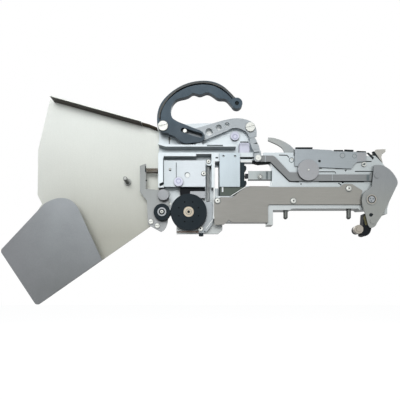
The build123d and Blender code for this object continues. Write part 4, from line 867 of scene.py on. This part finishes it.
@dataclass(frozen=True)
class Spring:
    """Coil spring that stands for a plain packed one, between the frame and a moving body."""

    packed: str
    name: str
    body: str
    axis: int
    wire: float
    turns: int
    sides: int
    steps: int
    finish: Finish
    slot: str

    def build(self, workshop: Workshop) -> None:
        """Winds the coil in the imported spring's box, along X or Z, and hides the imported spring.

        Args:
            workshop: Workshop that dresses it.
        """
        low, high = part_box(self.packed)
        start = (low + high) / 2
        end = start.copy()
        start[self.axis] = low[self.axis] + self.wire
        end[self.axis] = high[self.axis] - self.wire
        across = 2 - self.axis
        radius = (high[across] - low[across]) / 2 - self.wire
        mesh = coil(start, end, radius, self.wire, self.turns, self.sides, self.steps)
        piece = workshop.finish_piece(mesh, self.name, None, self.finish, self.slot)
        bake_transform(piece)
        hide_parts(self.packed)


@dataclass(frozen=True)
class Head:
    """Low domed screw head with a dark socket, turned about an axis along Y."""

    place: Sequence[float]
    radius: float
    height: float
    socket: float

    def dome(self) -> Mesh:
        """The head, from just below its surface to its flat top."""
        wide, tall, base = self.radius, self.height, -0.4 * MM
        return lathe(Vector(self.place), ((0, base), (wide, base), (wide, 0.4 * tall), (0.93 * wide, 0.7 * tall),
                                          (0.76 * wide, 0.92 * tall), (0.5 * wide, tall), (0, tall)))

    def hole(self) -> Mesh:
        """Dark floor of the socket."""
        return disc(Vector(self.place), self.radius * self.socket, self.height + 0.03 * MM, steps=6,
                    base=self.height - 0.1 * MM)

    def shadow_ring(self) -> Mesh:
        """Dark ring of painted shadow round the head."""
        return ring(Vector(self.place), 0.95 * self.radius, 1.14 * self.radius, 0.04 * MM)


@dataclass(frozen=True)
class Fasteners:
    """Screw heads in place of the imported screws' plain ones, and a dark socket in the lever's screw."""

    cover_radius: float = 3.8 * MM
    cover_places: tuple[tuple[float, float], ...] = ((-0.0776, 0.0098), (-0.0028, 0.0266), (-0.1801, 0.0098))
    cover_front: float = -6.5 * MM
    panel_spots: tuple[tuple[float, float, float], ...] = ((203.8, 173.6, 3.2), (208.6, 161.6, 2.9),
                                                           (170.0, 169.3, 1.5))
    panel_front: float = -5.0 * MM
    lever_front: Vector = field(default_factory=lambda: Vector((-0.2031, -0.0014, -0.0265)))
    lever_socket: float = 1.1 * MM

    def build(self, workshop: Workshop) -> None:
        """Builds every group of heads.

        Args:
            workshop: Workshop that dresses them.
        """
        self.heads(workshop, "side_cover_heads", "side_cover_screws", [
            Head((x, self.cover_front, z), self.cover_radius, 1.4 * MM, 0.3) for x, z in self.cover_places])
        self.heads(workshop, "panel_heads", "panel_screws", [
            Head(seen(column, row, self.panel_front), radius * MM, 1.0 * MM, 0.35)
            for column, row, radius in self.panel_spots])
        workshop.mark([disc(self.lever_front, self.lever_socket, 0.04 * MM, steps=6)], "lever_sockets",
                      "take_up_drive", GAP_SHADE)

    @staticmethod
    def heads(workshop: Workshop, name: str, packed: str, heads: Sequence[Head]) -> None:
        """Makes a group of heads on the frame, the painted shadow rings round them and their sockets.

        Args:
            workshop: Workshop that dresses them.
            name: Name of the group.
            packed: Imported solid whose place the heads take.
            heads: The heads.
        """
        domes = workshop.finish_piece(joined(head.dome() for head in heads), name, "frame", BRIGHT_STEEL,
                                      "bright_steel")
        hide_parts(packed)
        workshop.mark((head.shadow_ring() for head in heads), name + "_shadow_rings", "frame", SOFT_GAP_SHADE)
        workshop.mark((head.hole() for head in heads), name + "_sockets", "frame", GAP_SHADE)


@dataclass(frozen=True)
class RollerDetails:
    """Hub rings, holes and marks of the take-up and pinch rollers."""

    take_up_axis: Vector = field(default_factory=lambda: Vector((-0.2191, -8.5 * MM, -0.0053)))
    pinch_axis: Vector = field(default_factory=lambda: Vector((-0.2551, -9.05 * MM, -0.0053)))
    hole_ring: float = 14.2 * MM
    hole_radius: float = 0.95 * MM
    hole_count: int = 8
    hub_rise: float = 0.4 * MM
    hub_ring: tuple[float, float] = (3.5 * MM, 4.0 * MM)
    hub_socket: float = 2.1 * MM
    well_radius: float = 4.0 * MM
    screw_radius: float = 2.4 * MM

    def build(self, workshop: Workshop) -> None:
        """Builds the marks of both rollers.

        Args:
            workshop: Workshop that dresses them.
        """
        mark = workshop.mark
        turns = [2 * math.pi * (index + 0.5) / self.hole_count for index in range(self.hole_count)]
        mark([disc(self.take_up_axis + Vector((math.cos(turn), 0, math.sin(turn))) * self.hole_ring,
                   self.hole_radius, 0.05 * MM, steps=12) for turn in turns],
             "roller_holes", "take_up_wheel", BLACK_GAP, "black_rubber")
        hub = self.take_up_axis + Vector((0, -self.hub_rise, 0))
        mark([ring(hub, *self.hub_ring, 0.1 * MM)], "roller_hub_ring", "take_up_wheel", SOFT_GAP_SHADE)
        mark([disc(hub, self.hub_socket, 0.12 * MM, steps=6)], "roller_hub_socket", "frame", GAP_SHADE)
        mark([disc(self.pinch_axis, self.well_radius, 0.08 * MM)], "pinch_hub_well", "bracket", GAP_SHADE)
        screw = Head(self.pinch_axis, self.screw_radius, 0.9 * MM, 0.4)
        workshop.finish_piece(screw.dome(), "pinch_hub_screw", "bracket", BRIGHT_STEEL, "bright_steel")
        mark([screw.hole()], "pinch_hub_socket", "bracket", GAP_SHADE)


SPRINGS = (
    Spring("bracket_spring", "bracket_coil", "bracket", axis=0, wire=0.5 * MM, turns=12, sides=8, steps=20,
           finish=BROWN_BRONZE, slot="brass"),
    Spring("tension_spring", "tension_coil", "take_up_drive", axis=2, wire=0.42 * MM, turns=30, sides=6, steps=16,
           finish=SPRING_STEEL, slot="bright_steel"),
)

# Depths of the surfaces that carry most marks, in millimetres: the frame's rails, its web, the tape cover's skirt,
# the link bar and the nose plate.
FRONT = -5.0
WEB = 5.0
SKIRT = -6.5
BAR = -7.2
NOSE = -9.4


@dataclass(frozen=True)
class Marks:
    """Thin marks of one sub-assembly, in the order they are made."""

    marks: tuple[Mark, ...] = ()

    def build(self, workshop: Workshop) -> None:
        """Makes each mark in a workshop."""
        for mark in self.marks:
            mark.build(workshop)


@dataclass(frozen=True)
class RingMarks(Marks):
    """Rings of all sub-assemblies."""

    marks: tuple[Mark, ...] = (
        Rings("boss_rings", "frame", RING_METAL, "frame_metal",
              ((178.5, 181.0, -7.5, 2.2, 3.6), (235.0, 136.5, -7.5, 2.2, 3.6))),
        Rings("latch_ring", "frame", SOFT_GAP_SHADE, "dark_steel", ((291.5, 160.0, -5.0, 2.7, 3.6),)),
        Rings("nose_ring", "frame", GAP_SHADE, "nose_steel", ((371.8, 199.3, -9.95, 4.3, 5.4),)),
        Rings("nose_rim", "frame", WARM_STEEL, "nose_steel", ((371.8, 199.3, -9.95, 5.4, 6.3),)),
        Rings("cover_rings", "cover", SOFT_GAP_SHADE, "cover_steel",
              ((342.5, 155.5, -6.5, 3.0, 3.6), (354.5, 156.0, -6.5, 2.4, 3.0))),
        Rings("rod_screw_ring", "rod", SOFT_GAP_SHADE, "dark_steel", ((260.4, 176.4, -4.4, 1.9, 2.8),)),
    )


@dataclass(frozen=True)
class FrameMarks(Marks):
    """Marks on the frame's web, rails and beam."""

    marks: tuple[Mark, ...] = (
        # The hem is drawn dark as painted shade under the flange.
        Trim("reel_hem", "frame", HEM_SHADE, "plate_steel", 1,
             paths=(((141, 122.6), (149, 124.8), (157, 128)),), width=1.2, height=0, sink=8),
        Trim("rail_strip", "frame", SOFT_GAP_SHADE, "frame_metal", FRONT,
             patches=(rect(207, 144.8, 223, 146.2),), height=0.06),
        Trim("web_shine", "frame", PALE_LIP_AND_HIGHLIGHT, "frame_metal", WEB,
             dots=((209.6, 132.2, 3.4), (219, 127.4, 2.8), (227.4, 125, 1.6)), height=0.05),
        Trim("web_seam", "frame", GAP_SHADE, "frame_metal", WEB, paths=(((169.3, 137), (169.3, 144)),), width=0.8),
        Trim("wall_lip", "frame", PALE_LIP_AND_HIGHLIGHT, "frame_metal", FRONT,
             paths=(((214, 160), (214.2, 190), (213.6, 219)),), width=1.3),
        Trim("beam_lines", "frame", GAP_SHADE, "frame_metal", FRONT,
             paths=(((279, 155), (287, 155.3), (289, 157.5)), ((318.5, 171.8), (335, 171.8), (335.6, 173.4)),
             ((355, 171.4), (372.5, 171.4), (373.2, 173)), ((345, 169.8), (345.6, 171.2), (346.4, 169.8)),
             ((338.4, 183), (341.2, 185)), ((365.5, 161.5), (371.5, 161.4))), width=0.9),
        Trim("beam_blob", "frame", GAP_SHADE, "frame_metal", FRONT,
             patches=(((340.8, 181.2), (344, 181), (344.2, 182.6), (342.2, 183.4)),), dots=((301, 184, 0.7),)),
        Trim("right_gap", "frame", GAP_SHADE, "dark_steel", FRONT,
             patches=(((366.4, 152.8), (368.8, 152.6), (374, 157.6), (373, 159.8)),)),
        Trim("exit_strip", "frame", GAP_SHADE, "black_plastic", -3,
             patches=(((371.6, 152), (374.2, 151.2), (382, 162.2), (379.8, 163.6)),)),
        Trim("base_band", "frame", BROWN_BAND, "dark_steel", FRONT, patches=(rect(176.5, 231.3, 199, 232.5),)),
    )


@dataclass(frozen=True)
class PanelMarks(Marks):
    """Marks on the inner panel and the rails above it."""

    marks: tuple[Mark, ...] = (
        Trim("panel_gap", "frame", SOFT_GAP_SHADE, "dark_steel", FRONT,
             paths=(((163.4, 158), (163.4, 182.6)),), width=0.7),
        Trim("panel_corner", "frame", GAP_SHADE, "dark_steel", FRONT,
             patches=(((159.4, 183.6), (163.4, 181.8), (164, 184), (162.4, 185.4), (159.6, 186.4)),)),
        Trim("panel_seam", "frame", SOFT_GAP_SHADE, "frame_metal", FRONT - 0.05,
             paths=(((176.3, 162.5), (176.3, 177.6)),), width=0.7),
        Trim("key_hole", "frame", PALE_LIP_AND_HIGHLIGHT, "frame_metal", FRONT, dots=((187.5, 175.3, 2.3),), height=0.3),
        Trim("key_hole_shade", "frame", SOFT_GAP_SHADE, "frame_metal", FRONT, dots=((187.3, 174.9, 2.7),)),
    )


@dataclass(frozen=True)
class CylinderMarks(Marks):
    """Marks round the air cylinder and its rod."""

    marks: tuple[Mark, ...] = (
        Trim("cylinder_gaps", "frame", GAP_SHADE, "dark_steel", FRONT,
             patches=(rect(240.5, 157.5, 252.5, 159), rect(240.2, 141.5, 248.5, 142.5), rect(215.6, 157, 218, 158.4))),
        Trim("cylinder_lip", "frame", PALE_LIP_AND_HIGHLIGHT, "frame_metal", FRONT, patches=(rect(240.6, 160.3, 252, 162.3),)),
        Trim("cylinder_foot", "frame", GREEN_BLOCK, "black_plastic", FRONT,
             patches=(((220, 187), (244, 187), (237, 195.6), (220, 195.6)),), height=0.2),
        # Painted shade on the lower face of the opening's top edge, under the bar.
        Trim("opening_painted_shade", "frame", GAP_SHADE, "dark_steel", FRONT + 0.1,
             patches=(((252.5, 160.4), (269, 160.8), (270.4, 162.8), (266, 163.3), (258, 163.9), (252.5, 162.3)),),
             sink=5),
        Trim("air_fitting", "frame", PALE_LIP_AND_HIGHLIGHT, "bright_steel", FRONT - 0.2,
             paths=(((222.6, 187.2), (222.6, 192)),), width=1.6, height=0.9, sink=0.5),
        Trim("cylinder_bumps", "frame", CYLINDER_PAINT, "black_plastic", -3,
             patches=(((243, 165.6), (245.6, 165.6), (246.4, 167), (246.4, 169.2), (245.6, 170.4), (243, 170.4)),
             ((243, 180.6), (245.8, 180.6), (246.6, 182), (246.6, 184), (245.8, 185.2), (243, 185.2))), height=1,
             sink=6),
        Trim("rod_nut", "rod", DARK_STEEL, "dark_steel", -1.6,
             patches=(((245.2, 173.6), (247.4, 173.6), (248.4, 174.2), (248.4, 177.2), (247.4, 177.8),
             (245.2, 177.8)),), height=0.8, sink=4),
        Trim("rod_bands", "rod", SOFT_GAP_SHADE, "dark_steel", -3,
             patches=(rect(266.2, 171.5, 267.9, 179), rect(270.6, 171.5, 271.9, 179))),
    )


@dataclass(frozen=True)
class CoverMarks(Marks):
    """Marks on the tape cover and the side cover."""

    marks: tuple[Mark, ...] = (
        Trim("cover_strips", "cover", GAP_SHADE, "dark_steel", SKIRT + 0.3,
             patches=(((295.6, 147.2), (312.6, 147.2), (312.6, 149), (295.6, 148.9)),
             ((334, 149.9), (343, 149.9), (343.6, 151.4), (334, 151.2)),
             ((344.6, 149.4), (353.6, 149.8), (353.6, 151.2), (344.6, 150.8)),
             ((357, 150.8), (366, 151.2), (366, 152.2), (357, 152))), height=0.5, sink=1.1),
        Trim("cover_spots", "cover", LATCH_STEEL, "cover_steel", SKIRT,
             dots=((342.5, 155.5, 2.2), (354.5, 156, 1.8)), height=0.1),
        Trim("cover_hole", "cover", GAP_SHADE, "dark_steel", SKIRT, dots=((319.3, 161, 1.2),)),
        Trim("drive_shaft_mark", "tape_drive", SOFT_GAP_SHADE, "dark_steel", -6.15,
             dots=((364.3, 164.2, 1.1),), height=0.08),
        Trim("cover_end", "cover", DISC_STEEL, "cover_steel", SKIRT,
             patches=(((357.2, 152.6), (365.6, 153), (365.6, 161), (357.2, 161)),), height=0.1),
        # Painted highlight along the side cover's sloping top edge.
        Trim("side_cover_edge_highlight", "frame", PALE_LIP_AND_HIGHLIGHT, "cover_steel", SKIRT,
             paths=(((230.4, 196.4), (244.6, 187.4)),), width=0.7, height=0.08),
    )


@dataclass(frozen=True)
class ClampMarks(Marks):
    """Marks on the handle, crank, bar and nose."""

    marks: tuple[Mark, ...] = (
        Trim("handle_rim", "handle", RIM_PLASTIC, "black_plastic", -6.8,
             paths=(((158.9, 118), (159.6, 112.5), (161.6, 107.6), (164.3, 102.6), (167.8, 97.9), (172.2, 93.5),
             (177.2, 89.6), (182.2, 86.8), (187.5, 84.6), (195, 82.7), (203, 82), (210, 82.7), (216.4, 84.6),
             (222.4, 87.4), (227.6, 91), (231.4, 94.6), (234.2, 98)),), width=1.7, height=0.04, sink=0.2),
        Trim("handle_groove", "handle", BLACK_GAP, "black_plastic", -5.6,
             paths=(((160.9, 119), (161.3, 113), (163.3, 108.2), (165.9, 103.6), (169.2, 99.2), (173.4, 95),
             (178.2, 91.3), (183, 88.6), (188.1, 86.4), (195.3, 84.5), (203, 83.8), (209.7, 84.5), (215.8, 86.3),
             (221.4, 88.9), (226.3, 92.3), (229.9, 95.7), (232.3, 98.6)),), width=0.9, height=0.05, sink=0.2),
        Trim("handle_plug", "handle", GAP_SHADE, "black_plastic", -5.4, dots=((236.7, 103.2, 2.2),), sink=4),
        # Dark lines under the strap's steps are painted shade.
        Trim("crank_step_shadow", "crank", GAP_SHADE, "dark_steel", -5,
             paths=(((251.2, 145), (257.4, 142.8)),), width=1, height=0.05, sink=1.5),
        Trim("crank_step_low_shadow", "crank", SOFT_GAP_SHADE, "dark_steel", -9.4,
             paths=(((253.8, 152.6), (259.4, 151.8)),), width=1.1, height=0.25, sink=0.5),
        Trim("bar_seams", "link", LEVER_STEEL, "bar_steel", BAR,
             paths=(((265.4, 155.9), (265.4, 162)), ((332.4, 174.6), (332.4, 180.6))), width=0.6, height=0.05),
        Trim("bar_band", "link", SOFT_GAP_SHADE, "bar_steel", BAR,
             patches=(rect(366.6, 174.6, 369.4, 180.6),), height=0.05),
        Trim("disc_dot", "frame", BRIGHT_STEEL, "bright_steel", -9.9, dots=((308.7, 169.8, 0.9),), height=0.05),
        Trim("nose_hole", "nose_clamp", GAP_SHADE, "dark_steel", NOSE,
             dots=((370.9, 214.9, 1.8),), height=0.06, sink=1.5),
        Trim("nose_spot", "nose_clamp", BRIGHT_STEEL, "nose_steel", NOSE, dots=((371.7, 222.3, 1.4),), height=0.1),
        # Painted shadow along the link bar's lower edge.
        Trim("bar_painted_shadow", "link", GAP_SHADE, "dark_steel", -5.6,
             paths=(((262.4, 162.7), (271.4, 163.1), (289.6, 181.3), (299, 181.7)), ((319, 181.5), (364, 181.5))),
             width=1, height=0.05, sink=0.2),
        Trim("nose_strip", "nose_clamp", OLIVE_STRIP, "nose_steel", -7.6,
             paths=(((366.6, 212.5), (364.6, 218), (366.4, 225)),), width=2.2),
        Trim("nose_pivot_cap", "frame", GREY_BLOCK, "nose_steel", -9.95, dots=((371.8, 199.3, 3),), height=0.04),
        Trim("nose_pivot_marks", "frame", SOFT_GAP_SHADE, "nose_steel", -9.99,
             dots=((370.4, 198.4, 0.8), (373.2, 198.8, 0.8), (371.4, 201, 0.8)), height=0.03),
    )


@dataclass(frozen=True)
class ReleaseMarks(Marks):
    """Marks on the release bracket and the take-up lever."""

    marks: tuple[Mark, ...] = (
        Trim("bracket_tabs", "bracket", GAP_SHADE, "dark_steel", -1,
             paths=(((145.4, 166), (145.4, 172)),), width=0.9, dots=((146.3, 180.5, 0.8),)),
        Trim("lever_lip", "take_up_drive", PALE_LIP_AND_HIGHLIGHT, "lever_steel", 0,
             paths=(((212.8, 219.6), (206, 228.6)),), width=0.8),
    )


@dataclass(frozen=True)
class Studio:
    """Floor, backdrop, lamps and camera."""

    floor_level: float = -0.32
    floor_size: float = 8.0
    floor_colour: float = 0.9
    floor_bounce: float = 0.32
    floor_glow: float = 1.1
    glow_share: float = 0.85
    sky_colour: tuple[float, float, float, float] = (0.93, 0.97, 1.0, 1.0)
    sky_strength: float = 0.38
    aim: Vector = field(default_factory=lambda: Vector((-0.2, 0.0, 0.02)))
    lamp_list: tuple[tuple[str, tuple[float, float, float], float, float], ...] = (
        ("key_lamp", (-0.5, -1.3, 0.7), 1.2, 9.2),
        ("fill_lamp", (0.35, -1.5, 0.1), 1.4, 4.6),
        ("top_lamp", (-0.2, 0.1, 1.6), 1.4, 9.0),
        ("back_lamp", (-0.2, 1.3, 0.7), 1.0, 7.0),
    )

    def build(self) -> None:
        """Builds the studio round the part."""
        self.world()
        self.floor()
        self.lamps()
        self.camera()

    @staticmethod
    def place(name: str, data: bpy.types.ID) -> bpy.types.Object:
        """Puts an object of a mesh, a lamp or a camera in the scene.

        Args:
            name: Name of the object.
            data: What it shows.

        Returns:
            The object.
        """
        made = bpy.data.objects.new(name, data)
        bpy.context.scene.collection.objects.link(made)
        return made

    def camera(self) -> None:
        """Camera that looks straight at the feeder's side, with a rising front as the photograph's."""
        data = bpy.data.cameras.new("camera")
        data.sensor_width = 36.0
        data.lens = FOCAL_PIXELS / PHOTO_SIDE * data.sensor_width
        data.shift_y = (EYE_ROW - PHOTO_SIDE / 2) / PHOTO_SIDE
        data.clip_start = 0.01
        camera = self.place("camera", data)
        camera.location = EYE
        camera.rotation_euler = (math.pi / 2, 0.0, 0.0)
        bpy.context.scene.camera = camera

    def world(self) -> None:
        """World that is white where the camera or a reflection sees it, and softer as a light."""
        world = bpy.data.worlds.new("studio")
        bpy.context.scene.world = world
        nodes = Wiring.cleared(world)
        white = nodes.add("ShaderNodeBackground", {"Color": WHITE, "Strength": 1.0})
        light = nodes.add("ShaderNodeBackground", {"Color": self.sky_colour, "Strength": self.sky_strength})
        mix = nodes.add("ShaderNodeMixShader", {0: self.looked_at(nodes), 1: light.outputs[0], 2: white.outputs[0]})
        nodes.add("ShaderNodeOutputWorld", {"Surface": mix.outputs[0]})

    @staticmethod
    def looked_at(nodes: Wiring) -> Socket:
        """One for camera, glossy and transmission rays, and zero for the rest.

        Args:
            nodes: Wiring of the material or the world.

        Returns:
            The mask.
        """
        path = nodes.add("ShaderNodeLightPath").outputs
        mask = path["Is Camera Ray"]
        for ray in ("Is Glossy Ray", "Is Transmission Ray"):
            mask = nodes.add("ShaderNodeMath", {0: mask, 1: path[ray]}, operation="MAXIMUM").outputs[0]
        return mask

    def floor(self) -> None:
        """Pale floor that keeps a soft shadow."""
        material = bpy.data.materials.new("studio_floor")
        nodes = Wiring.cleared(material)
        paper, bounce = (nodes.add("ShaderNodeBsdfDiffuse", {"Color": (grey, grey, grey, 1.0)})
                         for grey in (self.floor_colour, self.floor_bounce))
        glow = nodes.add("ShaderNodeEmission", {"Color": WHITE, "Strength": self.floor_glow})
        lit = nodes.add("ShaderNodeMixShader", {0: self.glow_share, 1: paper.outputs[0], 2: glow.outputs[0]})
        mix = nodes.add("ShaderNodeMixShader", {0: self.looked_at(nodes), 1: bounce.outputs[0], 2: lit.outputs[0]})
        nodes.add("ShaderNodeOutputMaterial", {"Surface": mix.outputs[0]})
        mesh = bmesh.new()
        bmesh.ops.create_grid(mesh, x_segments=1, y_segments=1, size=self.floor_size / 2)
        bmesh.ops.translate(mesh, verts=mesh.verts, vec=(0, 0, self.floor_level))
        data = bpy.data.meshes.new("studio_floor")
        mesh.to_mesh(data)
        mesh.free()
        data.materials.append(material)
        self.place("studio_floor", data)

    def lamps(self) -> None:
        """Large soft lamps in front, above and behind."""
        for name, corner, size, power in self.lamp_list:
            data = bpy.data.lights.new(name, "AREA")
            data.shape = "SQUARE"
            data.size = size
            data.energy = power
            lamp = self.place(name, data)
            lamp.location = corner
            lamp.rotation_euler = (self.aim - Vector(corner)).to_track_quat("-Z", "Y").to_euler()


def main() -> None:
    """Builds the scene."""
    logging.basicConfig(level=logging.INFO, format="%(name)s: %(message)s")
    bpy.context.scene.view_settings.view_transform = "Standard"
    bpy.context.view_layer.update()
    workshop = Workshop(Dresser())
    workshop.dress_nodes()
    for group in (*SPRINGS, Fasteners(), RollerDetails(), RingMarks(), FrameMarks(), PanelMarks(), CylinderMarks(),
                  CoverMarks(), ClampMarks(), ReleaseMarks()):
        group.build(workshop)
    Studio().build()


if __name__ == "__main__":
    main()
